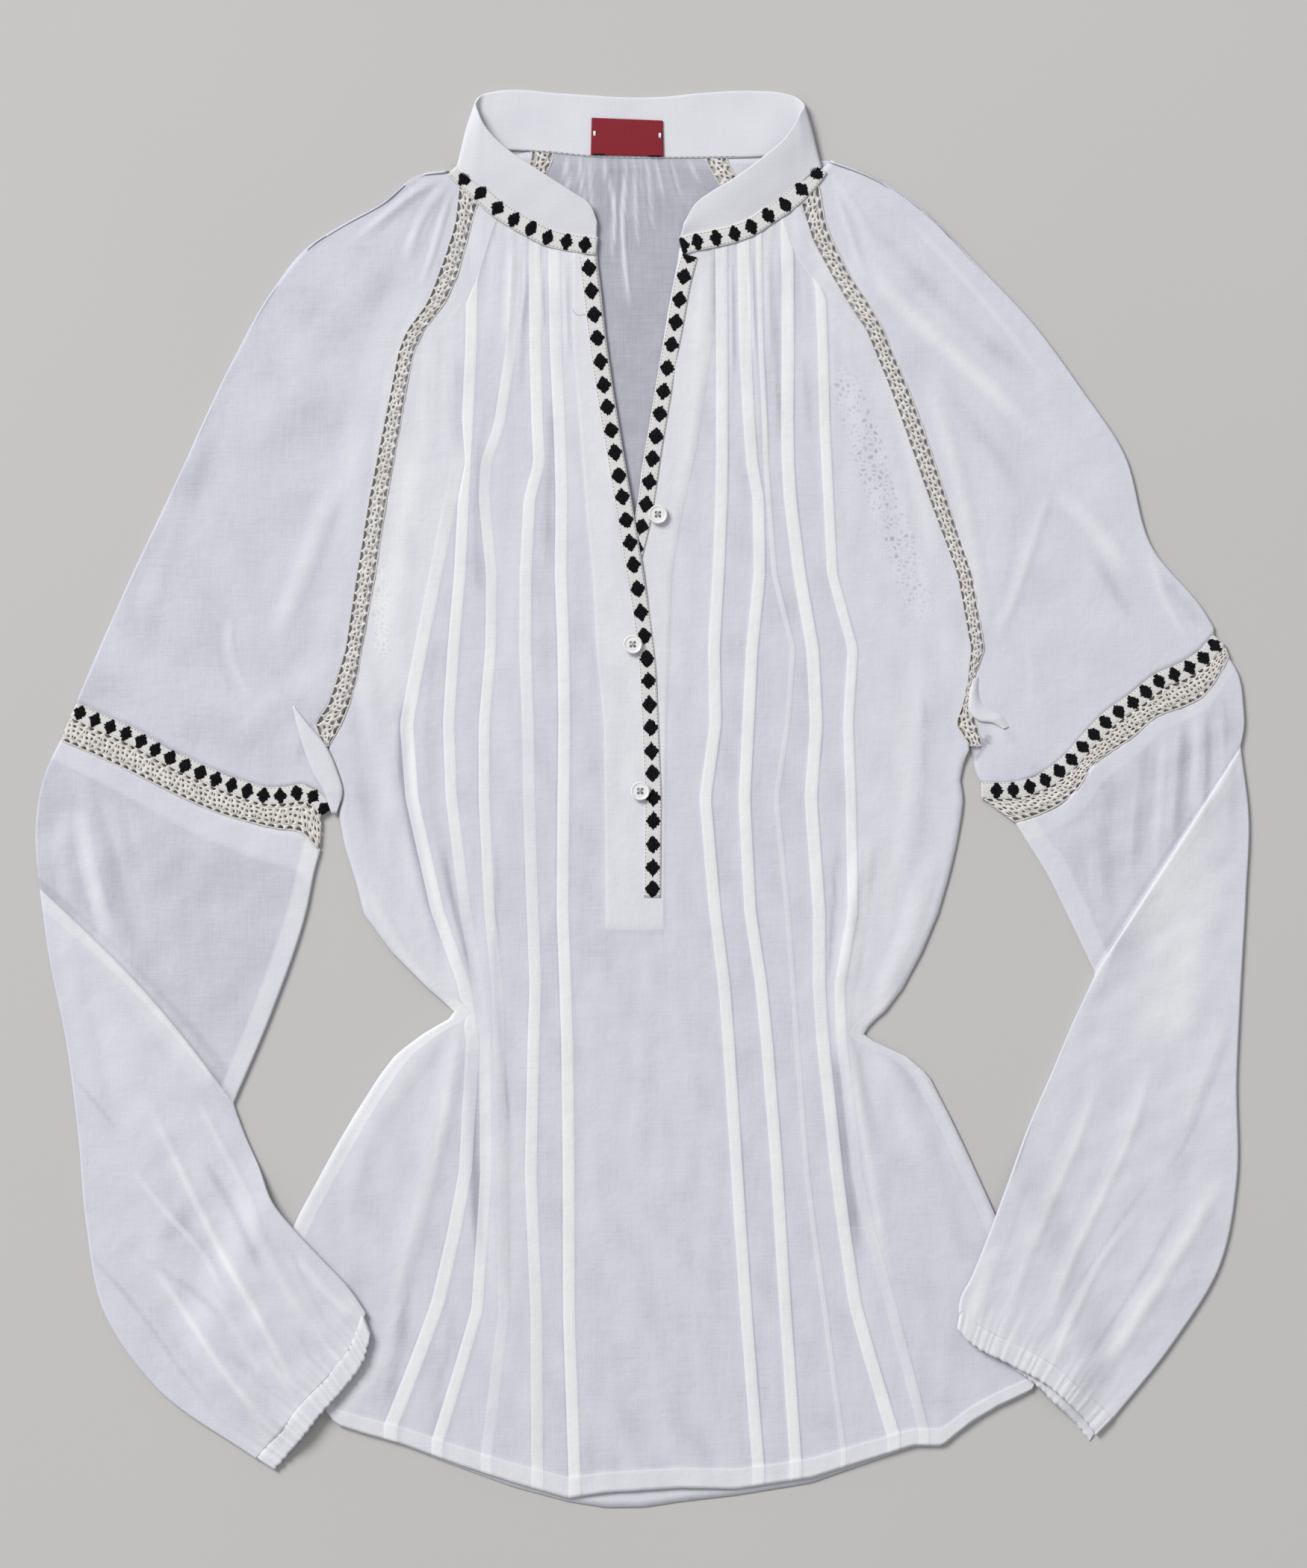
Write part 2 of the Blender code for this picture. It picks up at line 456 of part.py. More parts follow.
def upper_sleeve(side, edge, lace_column, away, underarm, tape, cloth):
    """From the raglan seams to the elbow tape; away is -1 on the left and 1 on the right."""
    outer = along(edge, len(RAGLAN_LEVELS) + 2)
    end = beside(along(tape, SLEEVE_COLUMNS), -away * (ELBOW_TAPE_WIDTH / 2 + SEAM))
    outer[-1] = end[0]
    layers = []
    for table, neck in ((FRONT_RAGLAN, neck_edge()), (BACK_RAGLAN, BACK_NECK)):
        seam = edge_line(RAGLAN_LEVELS, table, lace_column, neck) + (away * SEAM, 0)
        inner = np.concatenate([seam, [underarm], end[-1:]])
        start = outer[0] + np.linspace(0, 1, SLEEVE_COLUMNS)[:, None] * (inner[0] - outer[0])
        layers.append(patch(start, end, outer, inner))
    wrapped("sleeve_upper_" + side, *layers, cloth)


def elbow_trims(side, tape, lace_edge, away, materials):
    """The patterned tape and the lace that join the upper and the lower sleeve."""
    centre = along(tape, SLEEVE_COLUMNS)
    half = ELBOW_TAPE_WIDTH / 2
    band = np.stack([beside(centre, -away * half), beside(centre, away * half)])
    wrapped("elbow_tape_" + side, band, band, materials["tape"])
    lace = np.stack([beside(centre, away * (half + SEAM)), along(lace_edge, SLEEVE_COLUMNS)])
    wrapped("elbow_lace_" + side, lace, lace, materials["lace"])


def body_lift(xy):
    """Height of a sleeve's underside: up where it lies on the body, down on the ground."""
    sides, hems = np.array(SIDES, float), np.array(HEMS, float)
    outline = np.concatenate([sides[:, [2, 0]], hems[-2:0:-1, :2], sides[::-1, 1::-1]])
    near = np.clip((RAMP_FAR - outside(xy, outline)) / (RAMP_FAR - RAMP_NEAR), 0, 1)
    low = np.clip((RAMP_TOP - xy[..., 1]) / RAMP_LENGTH, 0, 1)
    return SLEEVE_ON_BODY * low * near * near * (3 - 2 * near)


def lower_sleeve(side, lace_edge, forearm, wrist, cuff_start, away, cloth):
    """From the elbow lace to the cuff, the part below the fold lying over the forearm."""
    share = np.linspace(0, 1, SLEEVE_COLUMNS)[:, None]
    forearm, wrist = np.array(forearm, float), np.array(wrist, float)
    start = beside(along(lace_edge, SLEEVE_COLUMNS), away * SEAM)
    fold = forearm[-1, :2] + share * (forearm[-1, 2:] - forearm[-1, :2])
    above = patch(start, fold, np.concatenate([start[:1], forearm[:, :2]]),
                  np.concatenate([start[-1:], forearm[:, 2:]]))
    first = wrist[0, :2] + share * (wrist[0, 2:] - wrist[0, :2])
    below = patch(first, along(cuff_start, SLEEVE_COLUMNS), wrist[:, :2], wrist[:, 2:])
    xy = np.concatenate([above, below])
    fading = np.clip(1 - np.arange(len(below)) / FOLD_ROWS, 0, 1)
    across = np.clip(8 * np.minimum(share, 1 - share), 0, 1).T
    step = np.concatenate([np.zeros(len(above)), FOLD_STEP * fading])[:, None] * across
    wrapped("sleeve_lower_" + side, xy, xy, cloth, body_lift(xy), step)


def cuff(side, cuff_start, cuff_end, away, under_shift, cloth):
    """The narrow band at the wrist, crimped by its elastic; its underside may show past it."""
    start = halved(beside(along(cuff_start, SLEEVE_COLUMNS), away * SEAM))
    rows = np.stack([start, halved(along(cuff_end, SLEEVE_COLUMNS))])
    under = rows.copy()
    under[1, 1:] += np.array(under_shift) * np.linspace(2, -1, len(start) - 1).clip(0, 1)[:, None]
    wrapped("cuff_" + side, rows, under, cloth, body_lift(rows), crimp=CUFF_CRIMP)


def collar_band(band):
    """One stiff strip: the back lies on the ground and the fronts come round over it."""
    rows = along(COLLAR, COLLAR_SECTIONS)
    share = np.linspace(0, 1, 5)[:, None]
    surface = rows[:, None, :3] + share * (rows[:, None, 3:] - rows[:, None, :3])
    normal = np.cross(np.gradient(surface, axis=0), np.gradient(surface, axis=1))
    normal *= BAND / 2 / np.linalg.norm(normal, axis=-1)[..., None]
    wall("collar_band", surface - normal, surface + normal, band)


def tapes(tape):
    """The patterned tape along the neck seam and down both edges of the slit."""
    for side, centre in (("left", NECK_TAPE_LEFT), ("right", NECK_TAPE_RIGHT)):
        ribbon("neck_tape_" + side, along(centre, NECK_TAPE_POINTS), NECK_TAPE_WIDTH, UPPER[0], CLOTH, tape)
    left = along(PLACKET_TAPE_LEFT, 34)
    rise = np.interp(-left[:, 1], [-y for y in CROSSING], (0, CROSSING_RISE, CROSSING_RISE, 0))
    ribbon("placket_tape_left", left, PLACKET_TAPE_WIDTH, FRONT_TOP + rise, TRIM, tape)
    ribbon("placket_tape_right", along(PLACKET_TAPE_RIGHT, 16), PLACKET_TAPE_WIDTH, FRONT_TOP, TRIM, tape)


def buttons(pearl):
    """Flat buttons with a rim and four holes, all as they lie."""
    radius, sides = BUTTON_DIAMETER / 2 * MM, 24
    z = FRONT_TOP + TRIM + SEAM
    for number, (x, y) in enumerate(BUTTONS, 1):
        work = bmesh.new()
        rim = [(radius * reach, height * MM) for reach, height in
               ((0.86, 0), (1, 0.5), (1, BUTTON_HEIGHT - 0.5), (0.9, BUTTON_HEIGHT), (0.72, BUTTON_HEIGHT - 0.4))]
        rings = [[work.verts.new((reach * math.cos(turn), reach * math.sin(turn), height))
                  for turn in np.arange(sides) * math.tau / sides] for reach, height in rim]
        for lower, upper in zip(rings, rings[1:]):
            for a in range(sides):
                b = (a + 1) % sides
                work.faces.new((lower[a], lower[b], upper[b], upper[a]))
        work.faces.new(rings[0][::-1])
        work.faces.new(rings[-1])
        mesh = bpy.data.meshes.new(f"button_{number}")
        work.to_mesh(mesh)
        work.free()
        piece = add(f"button_{number}", mesh, pearl)
        piece.location = (x * MM, y * MM, z * MM)
        for hole in range(4):
            turn = math.radians(45 + 90 * hole)
            bpy.ops.mesh.primitive_cylinder_add(
                vertices=8, radius=BUTTON_HOLE / 2 * MM, depth=4 * BUTTON_HEIGHT * MM)
            cutter = bpy.context.object
            cutter.location = ((x + BUTTON_HOLE_OFFSET * math.cos(turn)) * MM,
                               (y + BUTTON_HOLE_OFFSET * math.sin(turn)) * MM, z * MM)
            cutter.hide_render = True
            cutter.display_type = "WIRE"
            cut = piece.modifiers.new("hole", "BOOLEAN")
            cut.operation = "DIFFERENCE"
            cut.object = cutter


def neck_label(red):
    """A plain woven label on the inside of the collar's back."""
    corners = np.array(LABEL, float).reshape(2, 2, 2)
    low = BAND + SEAM
    wall("neck_label", flat(corners, low), flat(corners, low + LABEL_WALL), red)


def main():
    """Build every piece."""
    for old in list(bpy.data.objects):
        bpy.data.objects.remove(old, do_unlink=True)
    materials = {
        "cloth": finish("white_voile", (0.66, 0.66, 0.70), 0.9),
        "band": finish("white_poplin", (0.78, 0.78, 0.80), 0.85),
        "lace": finish("ecru_lace", (0.74, 0.69, 0.60), 0.9),
        "tape": finish("patterned_tape", (0.70, 0.69, 0.64), 0.8),
        "button": finish("pearl_button", (0.82, 0.82, 0.80), 0.25),
        "label": finish("red_label", (0.38, 0.01, 0.02), 0.7),
    }
    cloth = materials["cloth"]
    back_panel(cloth)
    front_panel(cloth)
    raglan_lace(materials["lace"])
    upper_sleeve("left", SLEEVE_EDGE_LEFT, 1, -1, UNDERARM_LEFT, ELBOW_TAPE_LEFT, cloth)
    upper_sleeve("right", SLEEVE_EDGE_RIGHT, 4, 1, UNDERARM_RIGHT, ELBOW_TAPE_RIGHT, cloth)
    elbow_trims("left", ELBOW_TAPE_LEFT, ELBOW_LACE_LEFT, -1, materials)
    elbow_trims("right", ELBOW_TAPE_RIGHT, ELBOW_LACE_RIGHT, 1, materials)
    lower_sleeve("left", ELBOW_LACE_LEFT, FOREARM_LEFT, WRIST_LEFT, CUFF_START_LEFT, -1, cloth)
    lower_sleeve("right", ELBOW_LACE_RIGHT, FOREARM_RIGHT, WRIST_RIGHT, CUFF_START_RIGHT, 1, cloth)
    cuff("left", CUFF_START_LEFT, CUFF_END_LEFT, -1, (0, 0), cloth)
    cuff("right", CUFF_START_RIGHT, CUFF_END_RIGHT, 1, CUFF_UNDER_RIGHT, cloth)
    collar_band(materials["band"])
    tapes(materials["tape"])
    buttons(materials["button"])
    neck_label(materials["label"])


main()
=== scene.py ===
import math

import bpy
import numpy as np
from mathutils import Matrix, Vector


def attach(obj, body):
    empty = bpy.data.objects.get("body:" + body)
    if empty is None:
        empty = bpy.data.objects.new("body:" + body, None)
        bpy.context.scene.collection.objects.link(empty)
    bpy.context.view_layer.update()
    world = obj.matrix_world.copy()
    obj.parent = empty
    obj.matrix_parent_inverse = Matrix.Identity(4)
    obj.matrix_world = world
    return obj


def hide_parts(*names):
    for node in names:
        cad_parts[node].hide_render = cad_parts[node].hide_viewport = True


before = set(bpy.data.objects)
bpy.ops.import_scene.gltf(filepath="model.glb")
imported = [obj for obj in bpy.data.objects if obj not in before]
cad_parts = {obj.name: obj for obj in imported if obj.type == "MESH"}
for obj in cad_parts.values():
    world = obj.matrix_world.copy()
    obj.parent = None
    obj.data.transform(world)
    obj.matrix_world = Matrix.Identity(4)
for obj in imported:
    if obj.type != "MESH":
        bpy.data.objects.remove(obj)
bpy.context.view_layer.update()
mm = 0.001
seed = 20

# Heights of the back's and the front's upper side as they lie, and thickness of the cloth, in millimetres
layer = {"backTop": 0.6, "frontTop": 2.3, "shell": 0.5}

# Body rows are levels, straight in the middle, bent to the neck edge above and to the hem below. Levels
# stand in close pairs where the slit, the facing and the folded hem end, and the last one is the hem
body = {"neckBend": (240, 290), "hemBend": (-230, -380), "slitEnd": 152, "raglanEnd": 28, "hemFrom": -368.3,
        "pairs": (152.4, 151.6, -70, -70.5, -368, -368.6, -380), "rowStep": 4.0, "leastRow": 0.2,
        "columnStep": 1.7, "leastColumn": 0.12, "clearance": 0.6, "tuckRise": 0.13, "hemRise": 0.25}

# Front raglan lace: y, left outer x, left inner x, right inner x, right outer x
frontRaglan = (
    (330, -98.5, -84.0, 80.0, 94.0), (310, -100.5, -91.0, 87.0, 97.5), (300, -103.0, -93.5, 90.0, 101.0),
    (280, -110.0, -99.0, 100.5, 111.0), (265, -116.0, -106.0, 109.5, 121.5),
    (250, -127.0, -117.5, 119.5, 129.5), (240, -131.0, -122.0, 123.5, 133.5),
    (220, -135.0, -126.5, 131.7, 142.0), (200, -139.0, -129.5, 139.0, 149.7),
    (160, -147.0, -137.0, 153.0, 163.0), (120, -153.5, -143.0, 168.0, 176.3),
    (80, -159.5, -150.5, 175.3, 183.0), (65, -164.0, -152.5, 174.0, 177.5),
    (50, -169.0, -157.0, 171.0, 175.0), (40, -176.0, -161.0, 167.0, 179.0),
    (28, -171.0, -168.0, 175.0, 182.0),
)
backRaglan = (
    (342, -60.0, -48.0, 33.0, 45.0), (320, -69.0, -58.0, 46.0, 57.0), (300, -77.0, -66.0, 60.0, 71.0),
    (260, -93.0, -82.0, 84.0, 95.0), (230, -103.0, -93.0, 100.0, 110.0), (170, -123.0, -113.0, 121.0, 131.0),
    (95, -146.0, -136.0, 147.0, 157.0), (60, -155.0, -145.0, 158.0, 168.0),
    (28, -169.0, -165.0, 170.0, 176.0),
)
# Sides of the body below the raglan seams: y, left x, right x
sides = (
    (20, -166.5, 172.0), (10, -163.2, 170.0), (0, -161.6, 171.7), (-8, -163.0, 170.8), (-25, -160.0, 168.0),
    (-45, -153.8, 163.0), (-62, -149.5, 158.0), (-82, -135.0, 149.5), (-102, -115.0, 139.0),
    (-115.5, -99.5, 128.5), (-120, -108.0, 122.5), (-126, -118.0, 118.5), (-131.5, -125.5, 126.0),
    (-137, -132.5, 140.0), (-148, -141.0, 153.0), (-170, -155.0, 164.3), (-187, -165.0, 172.5),
    (-223, -184.5, 189.0), (-260, -201.0, 204.0), (-285, -211.0, 215.0), (-300, -213.0, 217.0),
)
# Hems: x, back y, front y
hems = (
    (-213, -300.0, -299.0), (-200, -309.0, -308.0), (-175, -322.0, -321.0), (-164, -336.0, -335.0),
    (-150, -340.5, -339.5), (-130, -346.0, -345.0), (-100, -357.5, -356.0), (-70, -368.5, -366.0),
    (-40, -376.5, -374.5), (-20, -379.7, -371.5), (0, -379.5, -370.3), (20, -376.5, -369.0),
    (50, -373.0, -369.5), (90, -366.5, -363.5), (145, -347.0, -346.0), (160, -347.3, -346.3),
    (175, -335.0, -334.0), (190, -326.0, -325.0), (208, -317.5, -316.5), (217, -300.0, -299.0),
)
backNeck = ((-90, 347.5), (-61, 347.0), (-30, 345.0), (0, 344.2), (46, 344.6), (88, 346.0))
# Tuck centres: y, then x of five tucks on the left and five on the right
tucks = (
    (310, -92.5, -88.0, -66.0, -57.0, -47.0, 41.0, 53.0, 61.0, 76.0, 88.0),
    (280, -98.0, -91.0, -67.7, -58.0, -47.5, 41.8, 53.5, 62.0, 77.0, 93.0),
    (240, -102.0, -92.0, -70.7, -57.5, -46.6, 42.0, 54.5, 63.0, 77.3, 96.0),
    (200, -100.5, -94.0, -77.0, -56.5, -44.7, 42.0, 56.5, 65.0, 77.0, 97.0),
    (180, -99.0, -95.0, -84.0, -55.5, -44.0, 42.0, 58.0, 65.5, 77.3, 98.0),
    (160, -103.0, -96.0, -85.0, -60.7, -43.5, 41.7, 61.5, 67.0, 78.5, 99.0),
    (120, -111.0, -98.0, -81.0, -62.8, -44.0, 40.0, 62.0, 70.0, 83.5, 101.0),
    (80, -119.0, -101.5, -81.5, -63.0, -42.5, 37.7, 58.0, 80.0, 90.5, 112.0),
    (40, -126.5, -104.0, -85.0, -61.5, -42.0, 38.5, 56.0, 77.0, 92.5, 109.5),
    (0, -123.5, -102.5, -85.0, -61.0, -42.5, 33.0, 54.0, 71.0, 89.5, 111.0),
    (-60, -110.0, -95.0, -82.0, -59.0, -43.0, 38.2, 57.0, 77.0, 94.0, 112.0),
    (-100, -95.5, -88.0, -78.0, -57.5, -41.5, 43.2, 63.0, 80.0, 94.0, 105.0),
    (-130, -91.0, -84.5, -77.0, -58.5, -40.5, 45.5, 66.0, 82.0, 96.0, 106.0),
    (-200, -95.0, -84.0, -75.0, -60.0, -39.7, 50.0, 71.5, 87.3, 103.5, 114.0),
    (-280, -110.0, -88.7, -74.5, -57.0, -39.5, 55.0, 76.0, 97.0, 113.5, 132.0),
    (-370, -135.0, -110.0, -84.0, -56.5, -36.5, 61.5, 81.5, 107.0, 134.0, 150.0),
)
# How much each tuck shows at each height: y, then a share from 0 to 1 for each
tuckShows = (
    (310, 0.0, 1.0, 0.3, 0.7, 0.8, 0.8, 0.8, 0.7, 1.0, 1.0),
    (200, 0.0, 1.0, 0.8, 1.0, 1.0, 1.0, 0.9, 0.8, 1.0, 1.0),
    (180, 0.5, 1.0, 0.5, 1.0, 1.0, 1.0, 0.9, 0.6, 1.0, 1.0),
    (60, 1.0, 1.0, 0.9, 0.8, 1.0, 1.0, 1.0, 0.4, 1.0, 1.0),
    (0, 1.0, 0.9, 0.9, 0.5, 1.0, 1.0, 1.0, 0.4, 1.0, 1.0),
    (-110, 0.9, 0.2, 0.5, 0.9, 1.0, 0.9, 1.0, 0.4, 0.9, 0.8),
    (-160, 0.7, 0.5, 0.2, 1.0, 1.0, 1.0, 1.0, 0.4, 0.9, 0.2),
    (-280, 1.0, 1.0, 0.4, 0.7, 1.0, 1.0, 1.0, 0.5, 1.0, 0.3),
    (-370, 1.0, 1.0, 0.4, 0.7, 1.0, 1.0, 1.0, 0.4, 1.0, 0.5),
)
tucksOnLeft = 5
# Slit edges and the middle of the front below it: y, left x, right x
slit = (
    (300, -25.0, 21.0), (284, -24.3, 18.6), (259, -21.3, 13.3), (221, -16.3, 6.8), (197, -12.3, 2.8),
    (173, -8.3, -1.2), (152, -6.0, -3.2), (100, -1.5, 0.5), (40, 3.0, 5.0), (-60, 4.5, 6.5),
    (-380, 4.0, 6.0),
)
# Edges of the facing that shows whiter round the slit: y, left x, right x
facing = (
    (300, -37.0, 45.0), (250, -37.5, 38.0), (190, -33.0, 29.0), (150, -30.0, 20.0), (120, -27.0, 15.0),
    (80, -25.0, 13.5), (40, -21.0, 12.0), (-53, -20.0, 11.0), (-70, -20.0, 11.0), (-72, -20.0, 11.0),
)

neckTapeLeft = (
    (-101, 337.6), (-96, 332.3), (-87, 324.0), (-78, 316.0), (-69, 310.0), (-60, 305.0), (-51, 300.5),
    (-41, 298.0), (-31, 296.5), (-24.6, 295.7),
)
neckTapeRight = (
    (20.3, 295.7), (29, 298.0), (39, 300.0), (49, 302.5), (58, 306.0), (67, 312.0), (76, 318.0), (85, 326.0),
    (91.5, 333.4), (94.3, 337.6),
)
placketTapeLeft = (
    (-29.7, 290.0), (-27.5, 271.5), (-24.5, 246.5), (-21, 221.5), (-17, 197.0), (-13, 173.0), (-9, 149.0),
    (-5, 125.0), (-1, 99.5), (2, 75.0), (3.5, 50.5), (4.5, 25.5), (5.5, 0.5), (5.3, -24.5), (5, -53.0),
)
placketTapeRight = (
    (25, 290.5), (22, 279.5), (17.5, 255.0), (13, 230.5), (9, 206.0), (5, 182.0), (1.5, 157.5),
    (-1.0, 145.0), (-4.5, 130.0),
)
# The front's neck edge lies under the neck tapes; the left placket tape rises where it crosses the right one
tape = {"neckWidth": 10.0, "placketWidth": 9.2, "elbowWidth": 9.0, "edgeBelow": 1.0,
        "crossing": (178, 158, 120, 98), "crossingRise": 1.0}

# Sleeves, left then right. Outer edge from collar to elbow; elbow tape and lace from the outer edge inward
sleeveEdge = {
    "left": ((-104.5, 336.0), (-120, 334.0), (-140, 319.0), (-160, 308.0), (-180, 295.0), (-200, 270.0),
             (-220, 234.0), (-250, 170.0), (-280, 106.0), (-300, 60.0), (-303.5, 52.0)),
    "right": ((100.5, 341.5), (120, 334.5), (148, 317.0), (180, 285.0), (210, 253.0), (235, 219.0),
              (257, 186.0), (273, 134.0), (300, 101.0), (307, 89.5)),
}
underarm = {"left": (-168.6, 14.0), "right": (177.5, 17.0)}
elbowTape = {
    "left": ((-305, 47.5), (-290, 40.5), (-273, 33.0), (-258, 24.5), (-241.5, 16.0), (-217, 6.0),
             (-201, 1.5), (-191, 1.8), (-181, 3.0), (-175, 0.0), (-169, -7.0)),
    "right": ((308.5, 85.0), (300, 75.5), (291, 69.4), (275, 62.0), (264.7, 53.5), (248.7, 41.9),
              (238, 30.7), (227, 18.5), (211, 7.8), (200.6, 4.9), (181, 4.3)),
}
elbowLace = {
    "left": ((-312, 31.0), (-300, 26.0), (-270, 12.0), (-250, 2.0), (-230, -7.0), (-210, -13.0),
             (-195, -16.5), (-184, -18.0), (-173, -28.0)),
    "right": ((314, 76.0), (306, 62.0), (300, 54.5), (291, 49.7), (274, 43.0), (263.5, 33.8), (240, 16.0),
              (232, 4.0), (215, -7.5), (199, -13.0)),
}
# Lower sleeves, outer x and y, inner x and y: down to the fold across the forearm, then below it
forearm = {
    "left": ((-320, 14, -175, -36), (-325, -10, -180, -60), (-325, -30, -198, -113),
             (-323, -48, -219, -163)),
    "right": ((319, 66, 206, -24), (321.5, 50, 216, -40), (322, 40, 227, -62), (320, 28, 242, -93.5)),
}
wrist = {
    "left": ((-322.8, -51, -218.6, -165), (-318, -85, -213, -180), (-309, -130, -205, -198),
             (-302.5, -180, -198, -216), (-298, -230, -187, -230), (-289, -274, -172, -246),
             (-262, -314, -157, -262), (-206, -354.5, -148, -275)),
    "right": ((320.3, 25.5, 241.4, -95.5), (324.5, -10, 230, -120), (323, -50, 219, -146),
              (320, -105, 206, -176), (318, -150, 194, -208), (318, -205, 184, -235), (309, -250, 175, -257),
              (285, -290, 169.5, -268), (251, -333, 168.5, -275)),
}
cuffStart = {
    "left": ((-206, -354.5), (-192, -338), (-180, -323), (-165, -306), (-155, -292), (-148, -275)),
    "right": ((251, -333), (240, -323), (220, -305), (200, -294), (180, -283), (168.5, -275)),
}
cuffEnd = {
    "left": ((-197.5, -359.5), (-184, -344), (-172, -329), (-157, -312), (-150, -302), (-145.5, -286)),
    "right": ((243, -341), (235, -331), (215, -313), (195, -302), (175, -291), (168, -283.5)),
}
sleeve = {"onBody": 4.0, "ramp": (14.0, 38.0), "rampTop": -150.0, "rampLength": 40.0, "foldStep": 2.4,
          "foldReach": 45.0, "foldBulge": {"left": 5.0, "right": 0.0}, "bulgeWay": (0.72, 0.69),
          "seamStrip": 11.0, "underShift": (-3.5, -3.5)}

# Collar band: lower x, y, z and upper x, y, z of its middle surface, from one front end to the other
collar = (
    (-24.6, 302.0, 2.4, -24.6, 308.5, 3.0), (-31, 302.6, 2.4, -28.5, 318.0, 4.0),
    (-40, 304.1, 2.4, -37, 324.0, 4.8), (-49.5, 306.5, 2.4, -48, 331.0, 5.4),
    (-58, 310.8, 2.4, -58, 337.5, 6.0), (-66.8, 315.7, 2.6, -68.5, 344.3, 6.4),
    (-75.6, 321.5, 2.8, -77.5, 351.5, 6.8), (-84, 329.0, 3.0, -84, 359.0, 7.0),
    (-93, 337.5, 3.4, -88, 367.0, 6.5), (-98.5, 342.0, 2.6, -89.5, 373.0, 4.0),
    (-96, 345.0, 1.2, -87, 376.5, 1.6), (-88, 346.8, 0.6, -80, 378.6, 0.7),
    (-71, 347.2, 0.6, -67, 379.6, 0.6), (-50, 345.8, 0.6, -48, 378.0, 0.6),
    (-30, 343.8, 0.6, -30, 376.8, 0.6), (-10, 342.8, 0.6, -10, 375.6, 0.6), (10, 342.8, 0.6, 10, 375.8, 0.6),
    (30, 342.9, 0.6, 30, 377.8, 0.6), (62, 343.6, 0.6, 60, 379.0, 0.6), (82, 345.2, 0.6, 76, 377.6, 0.7),
    (91, 345.0, 1.2, 83, 375.0, 1.6), (94, 342.5, 2.6, 86, 371.5, 4.0), (89, 338.8, 3.4, 84, 367.0, 6.5),
    (81, 330.6, 3.0, 80.5, 360.0, 7.0), (72.6, 323.2, 2.8, 74.5, 352.0, 6.8),
    (64, 317.4, 2.6, 65, 344.0, 6.4), (55.6, 311.8, 2.4, 56, 337.0, 6.0), (47.5, 308.6, 2.4, 47, 331.0, 5.4),
    (38, 306.2, 2.4, 37, 325.0, 4.8), (28, 304.2, 2.4, 28, 318.3, 4.0), (20.3, 302.0, 2.4, 22, 308.0, 3.0),
)


# A smooth curve through points, sampled at even distances: a cubic between neighbours, whose slope
# at each point comes from the points beside it
def along(points, count):
    points = np.array(points, float)
    reach = np.concatenate([[0], np.cumsum(np.linalg.norm(np.diff(points, axis=0), axis=1))])
    slope = np.gradient(points, reach, axis=0)
    where = np.linspace(0, reach[-1], count)
    cell = np.clip(np.searchsorted(reach, where, side="right") - 1, 0, len(points) - 2)
    length = (reach[cell + 1] - reach[cell])[:, None]
    t = (where - reach[cell])[:, None] / length
    return ((1 + 2 * t) * (1 - t) ** 2 * points[cell] + t * (1 - t) ** 2 * length * slope[cell]
            + t * t * (3 - 2 * t) * points[cell + 1] + t * t * (t - 1) * length * slope[cell + 1])


# A path moved sideways: each point plus the distance times its direction turned a quarter to the left
def beside(path, distance):
    way = np.gradient(path[:, :2], axis=0)
    way /= np.linalg.norm(way, axis=1)[:, None]
    moved = path.copy()
    moved[:, :2] += np.reshape(distance, (-1, 1)) * np.column_stack([-way[:, 1], way[:, 0]])
    return moved


# Length of a path up to each of its points
def reachAlong(path):
    return np.concatenate([[0], np.cumsum(np.linalg.norm(np.diff(path[:, :2], axis=0), axis=1))])


# Straight lines between the rows of a table whose first column runs downward
def at(table, column, height):
    table = np.array(table, float)
    return np.interp(-np.asarray(height, float), -table[:, 0], table[:, column])


# The front neck edge: the centre lines of both neck tapes, moved down a little
def neckEdge():
    centres = (along(neckTapeLeft, 40), along(neckTapeRight, 40))
    return np.concatenate([beside(centre, -tape["edgeBelow"]) for centre in centres])


# Height of a level at x: the level itself, plus the neck's or hem's own bend as it comes near them
def levelHeight(level, x, neck, hemColumn):
    neck, hem = np.array(neck, float), np.array(hems, float)
    top = np.clip((level - body["neckBend"][0]) / (body["neckBend"][1] - body["neckBend"][0]), 0, 1)
    low = np.clip((level - body["hemBend"][0]) / (body["hemBend"][1] - body["hemBend"][0]), 0, 1)
    return (level + top * (np.interp(x, neck[:, 0], neck[:, 1]) - body["neckBend"][1])
            + low * (np.interp(x, hem[:, 0], hem[:, hemColumn]) - body["hemBend"][1]))


# Where levels meet an edge that a table gives as x for each height: both are solved in turn, 12 times
def edgeLine(levels, table, column, neck, hemColumn=1):
    y = np.array(levels, float)
    for _ in range(12):
        x = at(table, column, y)
        y = levelHeight(levels, x, neck, hemColumn)
    return np.column_stack([x, y])


# One edge of a body panel as x for each height: beside the raglan lace, then down the side
def sideTable(raglan, column, sideColumn, clearance):
    low = [(row[0], row[sideColumn]) for row in sides]
    return [(row[0], row[column] + clearance) for row in raglan] + low


# Grid between four border paths: the rows blended plus the columns blended, less the corners blended
def patch(start, end, first, last):
    v = np.linspace(0, 1, len(first))[:, None, None]
    u = np.linspace(0, 1, len(start))[None, :, None]
    corners = ((1 - v) * (1 - u) * start[0] + (1 - v) * u * start[-1] + v * (1 - u) * end[0]
               + v * u * end[-1])
    return (1 - v) * start + v * end + (1 - u) * first[:, None] + u * last[:, None] - corners


